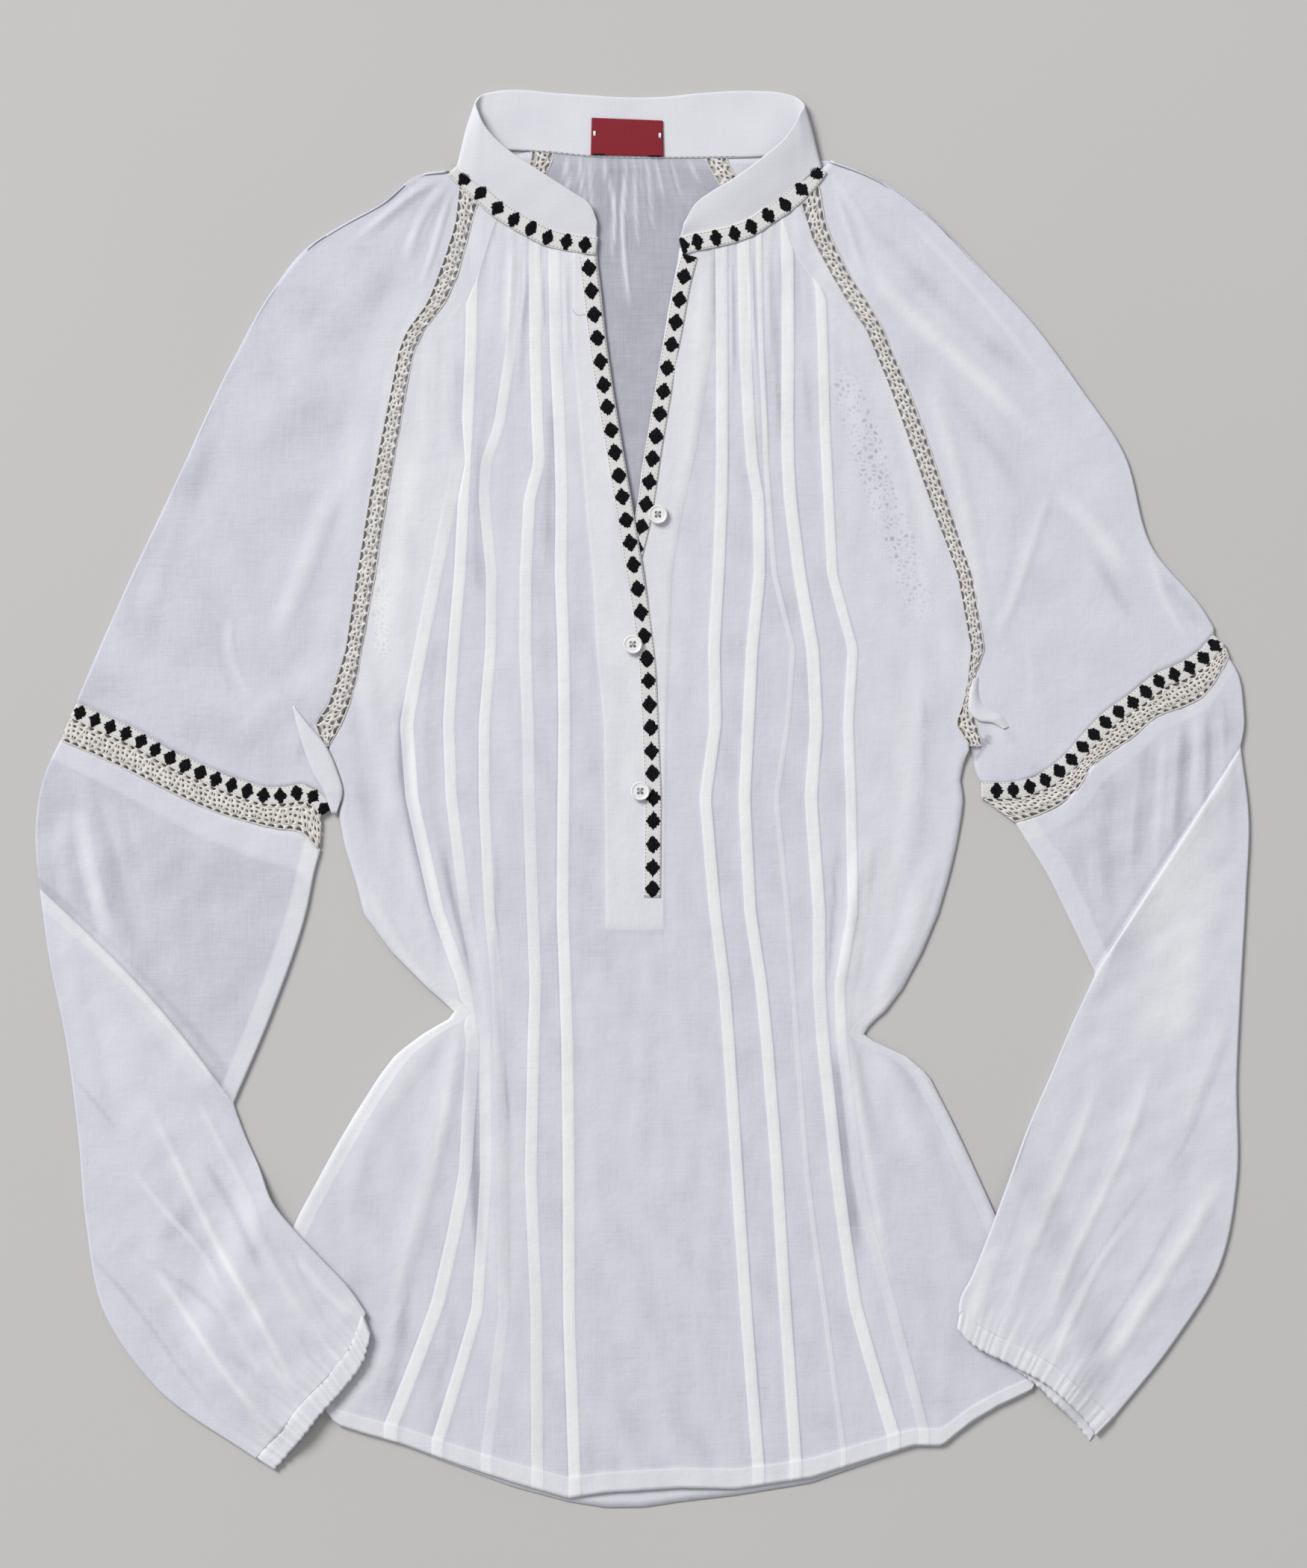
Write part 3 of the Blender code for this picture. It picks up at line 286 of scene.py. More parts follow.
# Distance of each point from a path, as the least over its straight stretches, and how far along it is
def distanceTo(path, xy):
    start, run = path[:-1], np.diff(path, axis=0)
    offset = xy[..., None, :] - start
    t = np.clip((offset * run).sum(-1) / (run * run).sum(-1), 0, 1)
    away = np.linalg.norm(offset - t[..., None] * run, axis=-1)
    nearest = away.argmin(-1)[..., None]
    share = (nearest + np.take_along_axis(t, nearest, -1)) / len(run)
    return np.take_along_axis(away, nearest, -1)[..., 0], share[..., 0]


# Sum of strokes, each drawn along a path: its height times (1 - (d / halfWidth)^2)^2 at distance d from
# the path, times 6 s (1 - s) kept below 1, which fades it at both ends (s is the share of its length)
def strokes(xy, table):
    total = np.zeros(xy.shape[:-1])
    for points, height, halfWidth in table:
        path = along(points, 3 * len(points)) if len(points) > 2 else np.array(points, float)
        box = ((xy > path.min(0) - halfWidth) & (xy < path.max(0) + halfWidth)).all(-1)
        if not box.any():
            continue
        away, share = distanceTo(path, xy[box])
        fade = np.clip(6 * share * (1 - share), 0, 1)
        total[box] += height * fade * np.clip(1 - (away / halfWidth) ** 2, 0, 1) ** 2
    return total


# Smooth random field: waves in many directions, each cos(k . p + phase), with wavelengths around size
def ripples(xy, size, number, key, stretch=(1.0, 1.0)):
    chance = np.random.default_rng(seed + key)
    angle = chance.uniform(0, math.tau, number)
    length = size * chance.uniform(0.6, 1.7, number)
    wave = math.tau / length[:, None] * np.column_stack([np.cos(angle), np.sin(angle)]) / np.array(stretch)
    phase = chance.uniform(0, math.tau, number)
    total = np.zeros(xy.shape[:-1])
    for direction, shift in zip(wave, phase):
        total += np.cos(xy @ direction + shift)
    return total / math.sqrt(number / 2)


# Points of a plane grid with their heights
def raised(xy, z):
    return np.concatenate([xy, np.broadcast_to(z, xy.shape[:-1])[..., None]], -1)


# A piece of cloth from a grid of points in millimetres: one quad for each cell that is kept, joined to
# the first column where it is closed, with a tone for each point and the grid's own lengths as UV
def gridPiece(name, points, material, tone=0.5, uv=None, keep=None, closed=False, flip=False, wall=None,
              ghost=None):
    rows, columns = points.shape[:2]
    number = np.arange(rows * columns).reshape(rows, columns)
    if closed:
        number = np.column_stack([number, number[:, 0]])
    cells = np.stack([number[:-1, :-1], number[1:, :-1], number[1:, 1:], number[:-1, 1:]], -1)
    cells = (cells if keep is None else cells[keep]).reshape(-1, 4)
    if flip:
        cells = cells[:, ::-1]
    used, cells = np.unique(cells, return_inverse=True)
    cells = cells.reshape(-1, 4)
    mesh = bpy.data.meshes.new(name)
    mesh.from_pydata((points.reshape(-1, 3)[used] * mm).tolist(), [], cells.tolist())
    shade = np.broadcast_to(tone, (rows, columns)).reshape(-1)[used].astype(np.float32)
    mesh.attributes.new("tone", "FLOAT", "POINT").data.foreach_set("value", shade)
    if ghost is not None:
        shade = ghost.reshape(-1)[used].astype(np.float32)
        mesh.attributes.new("ghost", "FLOAT", "POINT").data.foreach_set("value", shade)
    if uv is None:
        across = np.linalg.norm(np.diff(points, axis=1), axis=-1).cumsum(1)
        down = np.linalg.norm(np.diff(points, axis=0), axis=-1).cumsum(0)
        uv = np.stack([np.column_stack([np.zeros(rows), across]), np.vstack([np.zeros(columns), down])], -1)
    corners = (uv.reshape(-1, 2)[used] * mm)[cells.reshape(-1)]
    mesh.uv_layers.new(name="UVMap").data.foreach_set("uv", corners.astype(np.float32).reshape(-1))
    mesh.shade_smooth()
    mesh.materials.append(material)
    piece = bpy.data.objects.new(name, mesh)
    bpy.context.collection.objects.link(piece)
    if wall:
        thick = piece.modifiers.new("thickness", "SOLIDIFY")
        thick.thickness = wall * mm
        thick.offset = -1
    return piece


# Attaches a finished piece to the root body and hides the solids it stands for; the slot is not used
def place(piece, slot, *nodes):
    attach(piece, "root")
    if nodes:
        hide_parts(*nodes)
    return piece


# Adds one node to a material, with its settings and the values of its inputs
def addNode(tree, kind, settings=None, inputs=None):
    made = tree.nodes.new(kind)
    for name, value in (settings or {}).items():
        setattr(made, name, value)
    for name, value in (inputs or {}).items():
        made.inputs[name].default_value = value
    return made


# Mixes two numbers in a material with one arithmetic node
def combine(tree, operation, first, second):
    made = addNode(tree, "ShaderNodeMath", {"operation": operation})
    for socket, value in zip(made.inputs, (first, second)):
        if isinstance(value, (int, float)):
            socket.default_value = value
        else:
            tree.links.new(value, socket)
    return made.outputs[0]


# Noise on coordinates scaled along each axis; size is the width of its patches in metres
def patches(tree, coordinates, size, stretch=(1, 1, 1), detail=2.0):
    turn = addNode(tree, "ShaderNodeMapping", None, {"Scale": tuple(1 / (size * part) for part in stretch)})
    tree.links.new(coordinates, turn.inputs["Vector"])
    noise = addNode(tree, "ShaderNodeTexNoise", None, {"Scale": 1.0, "Detail": detail, "Roughness": 0.55})
    tree.links.new(turn.outputs[0], noise.inputs["Vector"])
    return noise.outputs["Fac"]


# Threads across one axis: a sine band whose period is the given spacing in metres
def threads(tree, coordinates, axis, spacing, wobble):
    bands = addNode(tree, "ShaderNodeTexWave", {"wave_type": "BANDS", "bands_direction": axis}, {
        "Scale": math.tau / 20 / spacing, "Distortion": wobble, "Detail": 1.0, "Detail Scale": 0.4})
    tree.links.new(coordinates, bands.inputs["Vector"])
    return bands.outputs["Fac"]


# Woven cotton: colour from the tone of each point, which holds the layers of cloth, whiter where doubled, and
# painted shade and light; with cloudy patches, slubs along both thread directions and a plain weave; the same
# slubs, weave and a soft crumple also drive the bump. Where ghost is above zero, lace below shows through as
# faint cells: ghostEdge less the distance to the nearest border
def wovenMaterial(name, look):
    material = bpy.data.materials.new(name)
    material.use_nodes = True
    tree, shader = material.node_tree, material.node_tree.nodes["Principled BSDF"]
    spot = addNode(tree, "ShaderNodeTexCoord").outputs["Object" if look["follows"] == "object" else "UV"]
    tone = addNode(tree, "ShaderNodeAttribute", {"attribute_name": "tone"}).outputs["Fac"]
    cloud = combine(tree, "SUBTRACT", patches(tree, spot, look["cloudSize"], detail=4.0), 0.5)
    slubAcross = patches(tree, spot, look["slubWidth"], (look["slubLength"], 1, 1))
    slubDown = patches(tree, spot, look["slubWidth"], (1, look["slubLength"], 1))
    slubs = combine(tree, "SUBTRACT", combine(tree, "ADD", slubAcross, slubDown), 1.0)
    weave = combine(tree, "MULTIPLY", threads(tree, spot, "X", look["thread"], 0.6),
                    threads(tree, spot, "Y", look["thread"], 0.6))
    value = combine(tree, "ADD", tone, combine(tree, "MULTIPLY", cloud, look["cloud"]))
    value = combine(tree, "ADD", value, combine(tree, "MULTIPLY", slubs, look["slub"]))
    value = combine(tree, "ADD", value, combine(tree, "MULTIPLY", combine(tree, "SUBTRACT", weave, 0.25),
                                                look["grain"]))
    under = addNode(tree, "ShaderNodeAttribute", {"attribute_name": "ghost"}).outputs["Fac"]
    cells = addNode(tree, "ShaderNodeTexVoronoi", {"feature": "DISTANCE_TO_EDGE"},
                    {"Scale": 1 / look["ghostCell"]})
    tree.links.new(spot, cells.inputs["Vector"])
    border = combine(tree, "SUBTRACT", look["ghostEdge"], cells.outputs["Distance"])
    holes = combine(tree, "MULTIPLY", border, look["ghost"])
    value = combine(tree, "ADD", value, combine(tree, "MULTIPLY", under, holes))
    ramp = addNode(tree, "ShaderNodeValToRGB")
    stops = ramp.color_ramp.elements
    while len(stops) < len(look["colours"]):
        stops.new(0.5)
    for stop, (position, colour) in zip(stops, look["colours"]):
        stop.position = position
        stop.color = (*colour, 1)
    tree.links.new(value, ramp.inputs["Fac"])
    tree.links.new(ramp.outputs["Color"], shader.inputs["Base Color"])
    height = combine(tree, "ADD", combine(tree, "MULTIPLY", weave, 0.5), slubs)
    fine = addNode(tree, "ShaderNodeBump", None, {"Strength": look["bump"], "Distance": look["relief"] * mm})
    tree.links.new(height, fine.inputs["Height"])
    crumple = addNode(tree, "ShaderNodeBump", None, {"Strength": 1.0, "Distance": look["crumple"] * mm})
    tree.links.new(patches(tree, spot, look["crumpleSize"], detail=3.0), crumple.inputs["Height"])
    tree.links.new(crumple.outputs["Normal"], fine.inputs["Normal"])
    tree.links.new(fine.outputs["Normal"], shader.inputs["Normal"])
    shader.inputs["Roughness"].default_value = look["roughness"]
    shader.inputs["Sheen Weight"].default_value = look["sheen"]
    shader.inputs["Sheen Roughness"].default_value = 0.5
    shader.inputs["Specular IOR Level"].default_value = 0.25
    return material


# Tone 0 gives the grey of painted shade, 0.35 single cloth, 0.75 and 1 doubled cloth
clothLook = {"follows": "object", "cloudSize": 0.03, "cloud": 0.05, "slubWidth": 0.0009, "slubLength": 14.0,
             "slub": 0.16, "thread": 0.00075, "grain": 0.10, "bump": 0.5, "relief": 0.12, "crumple": 0.5,
             "crumpleSize": 0.011, "roughness": 0.85, "sheen": 0.15, "ghostCell": 0.0030, "ghost": 1.2,
             "ghostEdge": 0.16, "colours": ((0.0, (0.37, 0.37, 0.42)), (0.35, (0.575, 0.575, 0.64)),
                                            (0.75, (0.675, 0.675, 0.705)), (1.0, (0.75, 0.75, 0.76)))}
bandLook = dict(clothLook, cloud=0.06, slub=0.06, grain=0.08, thread=0.0006, crumple=0.15)
cloth = wovenMaterial("whiteVoile", clothLook)
poplin = wovenMaterial("whitePoplin", bandLook)
print("materials ready")

front = {
    "tuckWidths": (7.0, 6.0, 5.6, 6.2, 6.2, 6.2, 6.2, 2.6, 6.6, 5.4),
    # y, then the tone of each gap: beside the seam, between the left tucks, next to the facing, the facing
    # left and right of the slit, and the same on the right. Each tone is partly the layers of cloth there and
    # partly painted shade and light
    "gapTones": (
        (310, 0.60, 0.60, 0.58, 0.56, 0.58, 0.60, 0.72, 0.72, 0.55, 0.50, 0.52, 0.50, 0.54, 0.58),
        (200, 0.58, 0.45, 0.38, 0.42, 0.36, 0.58, 0.74, 0.70, 0.38, 0.38, 0.36, 0.36, 0.40, 0.46),
        (170, 0.66, 0.42, 0.38, 0.46, 0.36, 0.50, 0.74, 0.70, 0.42, 0.38, 0.36, 0.36, 0.40, 0.46),
        (100, 0.68, 0.40, 0.38, 0.54, 0.36, 0.38, 0.72, 0.70, 0.50, 0.38, 0.38, 0.36, 0.38, 0.48),
        (62, 0.64, 0.40, 0.40, 0.50, 0.36, 0.37, 0.71, 0.69, 0.46, 0.37, 0.37, 0.36, 0.39, 0.49),
        (35, 0.44, 0.42, 0.40, 0.46, 0.36, 0.37, 0.71, 0.69, 0.44, 0.37, 0.37, 0.36, 0.39, 0.50),
        (0, 0.42, 0.44, 0.40, 0.40, 0.37, 0.36, 0.70, 0.68, 0.40, 0.36, 0.36, 0.36, 0.40, 0.50),
        (-70, 0.55, 0.50, 0.44, 0.38, 0.36, 0.35, 0.70, 0.68, 0.38, 0.35, 0.36, 0.40, 0.45, 0.55),
        (-70.5, 0.55, 0.50, 0.44, 0.38, 0.36, 0.35, 0.35, 0.35, 0.36, 0.35, 0.36, 0.40, 0.45, 0.55),
        (-110, 0.60, 0.55, 0.50, 0.40, 0.37, 0.39, 0.39, 0.39, 0.38, 0.36, 0.38, 0.42, 0.50, 0.60),
        (-200, 0.40, 0.42, 0.50, 0.48, 0.37, 0.40, 0.40, 0.40, 0.38, 0.36, 0.38, 0.40, 0.46, 0.38),
        (-380, 0.36, 0.36, 0.38, 0.38, 0.36, 0.33, 0.33, 0.33, 0.34, 0.36, 0.36, 0.38, 0.40, 0.36),
    ),
    "tuckTone": 1.0, "shadowTone": -0.20, "hemTone": 0.34,
    "folds": (
        (((-96, -118), (-112, -190), (-134, -270)), 1.3, 9),
        (((-84, -60), (-78, -180), (-76, -300)), 0.8, 7), (((120, -20), (113, -60), (108, -105)), 1.6, 8),
        (((107, -105), (112, -150), (124, -190)), 1.6, 8),
        (((-118, 60), (-118, 0), (-104, -60), (-93, -115)), 1.3, 8),
        (((-104, -112), (-125, -90), (-150, -45)), 0.9, 7),
        (((-103, -120), (-135, -160), (-165, -225)), 0.9, 9),
        (((124, -112), (140, -80), (155, -30)), 0.9, 8), (((124, -122), (142, -165), (168, -240)), 0.9, 9),
        (((-150, 70), (-140, 30), (-128, -20)), 0.7, 8), (((155, 80), (148, 20), (140, -40)), 0.7, 8),
        (((-70, 292), (-71, 270), (-74, 240)), 0.7, 2.6), (((-76, 296), (-80, 270), (-83, 235)), 0.6, 3.0),
        (((-63, 288), (-63, 270), (-66, 250)), 0.5, 1.8), (((-54, 284), (-54, 268), (-53, 250)), 0.5, 1.8),
        (((34, 286), (34, 265), (34, 235)), 0.5, 1.8), (((47, 288), (47.5, 262), (48, 225)), 0.6, 2.0),
        (((58, 293), (58.5, 268), (60, 235)), 0.6, 2.0), (((66, 298), (67, 270), (69, 230)), 0.6, 2.2),
        (((71, 301), (72.5, 282), (73, 262)), 0.5, 1.8), (((84, 312), (85, 290), (87, 262)), 0.7, 2.6),
        (((-42, 284), (-41, 262), (-40, 235)), 0.4, 2.0), (((28, 280), (29, 262), (31, 238)), 0.4, 1.8),
    ),
    # Painted shade in creases, valleys and under fold edges (below zero), painted light along ridges (above
    # zero)
    "shadeAndLight": (
        (((-127, 62), (-129, 25), (-121, -30), (-108, -85)), -0.42, 5),
        (((-109, -20), (-103, -50), (-98, -70), (-90, -100)), -0.34, 2.6),
        (((-78, -20), (-78, -110), (-72, -170), (-70, -200)), -0.26, 2.0),
        (((104, -20), (101, -70), (98, -105)), -0.26, 2.4),
        (((119, -30), (110, -80), (104, -115)), -0.20, 2.0),
        (((121, -20), (118, -60), (110, -105)), 0.42, 3.2),
        (((103, -125), (107, -180), (116, -250)), -0.42, 5),
        (((110, -125), (118, -180), (132, -265)), 0.34, 3.4),
        (((-90, -118), (-91, -180), (-87, -250)), -0.45, 5),
        (((-99, -122), (-110, -185), (-128, -250), (-140, -300)), 0.36, 4),
        (((-125, -245), (-130, -290), (-138, -330)), -0.20, 5),
        (((-100, -270), (-108, -310), (-115, -345)), -0.14, 4),
        (((150, 60), (151, 35), (150, 10)), -0.20, 2.6), (((-110, 90), (-114, 60), (-116, 30)), -0.12, 4),
        (((-140, 130), (-140, 70), (-134, 10), (-118, -70)), 0.12, 7),
        (((-158, 70), (-152, 20), (-145, -40)), -0.12, 7), (((160, 60), (155, 0), (140, -60)), -0.10, 8),
        (((138, 60), (138, 0), (128, -70)), 0.14, 7),
        (((-110, 235), (-122, 180), (-134, 120), (-140, 70)), 0.18, 10),
        (((-104, 292), (-104, 250), (-108, 200)), 0.10, 6),
        (((-100, 240), (-99, 215), (-99, 185)), -0.16, 4),
        (((-62, 285), (-64, 250), (-66, 215)), -0.22, 3.4), (((-48, 215), (-50, 170), (-51, 120)), -0.16, 4),
        (((-87, 205), (-89, 150), (-87, 100)), -0.14, 4), (((71, 285), (72, 235), (74, 190)), -0.22, 3.0),
        (((86, 240), (88, 215), (90, 190)), -0.20, 4), (((57, 285), (59, 240), (62, 180)), 0.20, 2.2),
        (((33, 280), (27, 215), (21, 150)), 0.12, 5), (((110, 250), (122, 195), (138, 120)), -0.10, 8),
        (((128, 245), (142, 190), (160, 120)), 0.24, 7), (((110, 285), (122, 262), (132, 235)), 0.16, 5),
        (((150, 120), (156, 90), (160, 60)), 0.10, 8), (((-103, -112), (-125, -88), (-148, -48)), 0.20, 5),
        (((-112, -128), (-140, -175), (-165, -225)), 0.12, 7),
        (((112, -120), (135, -140), (158, -175)), -0.20, 6),
        (((122, -112), (138, -85), (156, -35)), 0.12, 5),
        (((-150, -250), (-165, -285), (-185, -312)), -0.10, 10),
        (((-136, -292), (-150, -312), (-164, -332)), 0.30, 7),
        (((15, -30), (18, -120), (20, -210)), 0.07, 6), (((-30, -90), (-30, -160), (-30, -230)), 0.06, 6),
        (((-45, -372), (0, -376), (60, -370), (110, -360)), 0.12, 6),
    ),
    # The neck's gathers start at a height and grow over a length; their tone is painted light on the raised
    # gathers and painted shade between them; both side seams have their own tone
    "gather": {"start": 150, "over": 150, "rise": 0.18, "tone": 0.075}, "seamTones": (0.36, 0.16),
    "seamFrom": -108,
    # Columns at the side: distance from the seam, then shares of the drop and of the seam's tone
    "edge": ((0, 1, 1), (0.8, 0.45, 1), (2.6, 0, 1), (8.6, 0, 1), (9.0, 0, 0)), "edgeDrop": 1.25,
    "edgeReach": 12,
    "facingStep": 0.15, "facingEnd": -70.2, "facingEdge": 0.2,
    "foldEdge": 0.35, "shadowReach": 1.6, "seamSide": 0.8,
    "ghosts": ((((104, 234), (115, 205), (125, 172), (140, 130), (152, 92)), 1.0, 11),
               (((-141, 128), (-141, 100), (-139, 74)), 0.7, 6)),
}


# The front: columns stand at the edges of tucks, facing and slit and evenly between them. Each tuck
# rises from its seam to its free edge, which points away from the middle, and drops there to the cloth.
# Below the raglan seams both sides bend down by edgeDrop, towards the back
def frontPanel():
    levels = np.arange(body["neckBend"][1], body["hemBend"][1] - 1, -body["rowStep"])
    levels = np.sort(np.concatenate([levels, body["pairs"]]))[::-1]
    levels = levels[np.concatenate([[True], np.diff(levels) < -body["leastRow"]])]
    neck = neckEdge()
    left = edgeLine(levels, sideTable(frontRaglan, 2, 1, -body["clearance"]), 1, neck, 2)[:, 0]
    right = edgeLine(levels, sideTable(frontRaglan, 3, 2, body["clearance"]), 1, neck, 2)[:, 0]
    gap = [at(front["gapTones"], number, levels) for number in range(1, 15)]
    down = -front["edgeDrop"] * np.clip((body["raglanEnd"] - levels) / front["edgeReach"], 0, 1)
    strip = [part * (levels < front["seamFrom"]) for part in front["seamTones"]]
    lines = [(left + inside, part * down, gap[0] + seam * strip[0]) for inside, part, seam in front["edge"]]
    for number, tuckWidth in enumerate(front["tuckWidths"]):
        if number == tucksOnLeft:
            step, thin = front["facingStep"] * (levels > front["facingEnd"]), front["facingEdge"]
            leftEdge, rightEdge = (at(facing, column, levels) for column in (1, 2))
            lines += [(leftEdge - thin, 0 * levels, gap[5]), (leftEdge + thin, step, gap[6]),
                      (at(slit, 1, levels), step, gap[6]), (at(slit, 2, levels), step, gap[7]),
                      (rightEdge - thin, step, gap[7]), (rightEdge + thin, 0 * levels, gap[8])]
        side = -1 if number < tucksOnLeft else 1
        centre, half = at(tucks, number + 1, levels), tuckWidth / 2
        shows = at(tuckShows, number + 1, levels)
        before = number + 3 * (number >= tucksOnLeft)
        outer, inner = (gap[before], gap[before + 1])[::-side]
        white = inner + (front["tuckTone"] - inner) * shows
        rib = [(centre + side * (half + front["shadowReach"]), 0 * levels, outer),
               (centre + side * (half + front["foldEdge"]), 0 * levels, outer + front["shadowTone"] * shows),
               (centre + side * half, body["tuckRise"] * shows, white),
               (centre - side * (half - front["foldEdge"]),
                front["seamSide"] * body["tuckRise"] * shows, white),
               (centre - side * half, 0 * levels, inner)]
        lines += rib[::-side]
    lines += [(right - inside, part * down, gap[13] + seam * strip[1])
              for inside, part, seam in reversed(front["edge"])]
    x = np.column_stack([line[0] for line in lines])
    middle = len(front["edge"]) + len(rib) * tucksOnLeft + 2    # the column at the slit's left edge
    for column in range(1, middle + 1):
        x[:, column] = np.maximum(x[:, column], x[:, column - 1] + body["leastColumn"])
    for column in range(x.shape[1] - 2, middle, -1):
        x[:, column] = np.minimum(x[:, column], x[:, column + 1] - body["leastColumn"])
    x[:, 0], x[:, -1] = left, right
    rise, tone = (np.column_stack([line[part] for line in lines]) for part in (1, 2))
    share, start = [], []
    for column, width in enumerate(np.diff(x, axis=1).mean(0)):
        parts = 1 if column == middle else max(1, round(width / body["columnStep"]))
        start += [column] * parts
        share += (np.arange(parts) / parts).tolist()
    start, share = np.array(start + [x.shape[1] - 1]), np.array(share + [0.0])
    after = np.minimum(start + 1, x.shape[1] - 1)
    x, rise, tone = (part[:, start] * (1 - share) + part[:, after] * share for part in (x, rise, tone))
    xy = np.stack([x, levelHeight(levels[:, None], x, neck, 2)], -1)
    hem = (levels < body["hemFrom"])[:, None]
    z = layer["frontTop"] + rise + strokes(xy, front["folds"]) + body["hemRise"] * hem
    z += 0.10 * ripples(xy, 26, 14, 1, (0.5, 1.6))
    near = np.clip((xy[..., 1] - front["gather"]["start"]) / front["gather"]["over"], 0, 1)
    gather = near ** 2 * ripples(xy * (1, 0.07), 7.5, 14, 31)
    z += front["gather"]["rise"] * gather
    # Painted shade and light along creases and ridges, the hem's doubled cloth and small random changes
    tone = tone + strokes(xy, front["shadeAndLight"]) + front["hemTone"] * hem + 0.03 * ripples(xy, 30, 12, 2)
    # Painted light on the raised gathers, painted shade between them
    tone += front["gather"]["tone"] * gather
    ghost = np.minimum(3 * strokes(xy, front["ghosts"]), 1)
    keep = np.ones((x.shape[0] - 1, x.shape[1] - 1), bool)
    keep[levels[:-1] > body["slitEnd"], np.flatnonzero(start == middle)[0]] = False
    piece = gridPiece("bodyFront", raised(xy, z), cloth, tone, keep=keep, wall=layer["shell"], ghost=ghost)
    return place(piece, "cloth", "front_panel")


back = {
    # A low tone for painted shade over the back, which shows inside the neck opening
    "columns": 111, "rows": 170, "tone": 0.06, "seamRise": 0.3, "seamFrom": 334, "seamOver": 8,
    "lowEnd": -300, "lowTone": 0.55,    # the back's hem, which shows below the front's, is lighter
    "folds": (
        (((-8, 343), (-11, 310), (-10, 290), (-7, 262)), 0.9, 1.8),
        (((-22, 343), (-15, 315), (-17, 290)), 0.8, 1.8), (((-34, 343), (-33, 330), (-31, 318)), 0.5, 1.6),
        (((-30, 343), (-29, 325), (-27, 305)), 0.5, 1.6), (((-26, 343), (-25, 328), (-23, 312)), 0.5, 1.5),
        (((-18, 343), (-18.5, 328), (-20, 310)), 0.5, 1.5),
        (((-14, 343), (-13.5, 330), (-13, 318)), 0.5, 1.4), (((-4, 343), (-4, 325), (-3, 300)), 0.5, 1.5),
        (((0, 343), (0.5, 328), (2, 308)), 0.5, 1.5), (((4, 343), (5, 330), (7, 318)), 0.5, 1.4),
        (((8, 343), (9.5, 330), (12, 316)), 0.4, 1.4), (((13, 343), (15, 333), (17, 322)), 0.4, 1.4),
    ),
    # Painted light along the crests of the gathers in the neck opening, painted shade in a few hollows
    "lights": (
        (((-8, 343), (-11, 310), (-10, 290), (-7, 262)), 0.55, 1.6),
        (((-22, 343), (-15, 315), (-17, 290)), 0.50, 1.6), (((-34, 343), (-33, 330), (-31, 314)), 0.32, 1.6),
        (((-29, 343), (-28, 325), (-26, 300)), 0.34, 1.5), (((-4, 343), (-4, 325), (-3, 296)), 0.30, 1.5),
        (((2, 343), (3, 328), (5, 304)), 0.28, 1.4), (((-18, 343), (-19, 325), (-21, 300)), -0.20, 1.8),
        (((7, 343), (9, 332), (12, 318)), 0.22, 1.3), (((14, 343), (17, 335), (20, 322)), 0.20, 1.4),
        (((-12, 340), (-13, 320), (-13.5, 296)), -0.16, 1.6), (((24, 343), (27, 336), (30, 328)), 0.25, 2.0),
        (((-42, 343), (-41, 335), (-40, 326)), 0.35, 2.4),
    ),
}


# The back: even columns from seam to seam, gathered into the collar where the neck opening shows it
def backPanel():
    levels = np.linspace(body["neckBend"][1], body["hemBend"][1], back["rows"])
    left = edgeLine(levels, sideTable(backRaglan, 2, 1, -body["clearance"]), 1, backNeck)
    right = edgeLine(levels, sideTable(backRaglan, 3, 2, body["clearance"]), 1, backNeck)
    share = np.linspace(0, 1, back["columns"])
    x = left[:, :1] + share * (right[:, :1] - left[:, :1])
    xy = np.stack([x, levelHeight(levels[:, None], x, backNeck, 1)], -1)
    z = layer["backTop"] + strokes(xy, back["folds"]) + back["seamRise"] * np.clip(
        (xy[..., 1] - back["seamFrom"]) / back["seamOver"], 0, 1)
    # Painted shade overall, painted light and shade along the gathers, and small random changes
    tone = back["tone"] + strokes(xy, back["lights"]) + 0.02 * ripples(xy, 22, 12, 3)
    tone = np.where(levels[:, None] < back["lowEnd"], back["lowTone"], tone)
    piece = gridPiece("bodyBack", raised(xy, z), cloth, tone, wall=layer["shell"])
    return place(piece, "cloth", "back_panel")


bodyFront = frontPanel()
bodyBack = backPanel()
print("front and back laid out")


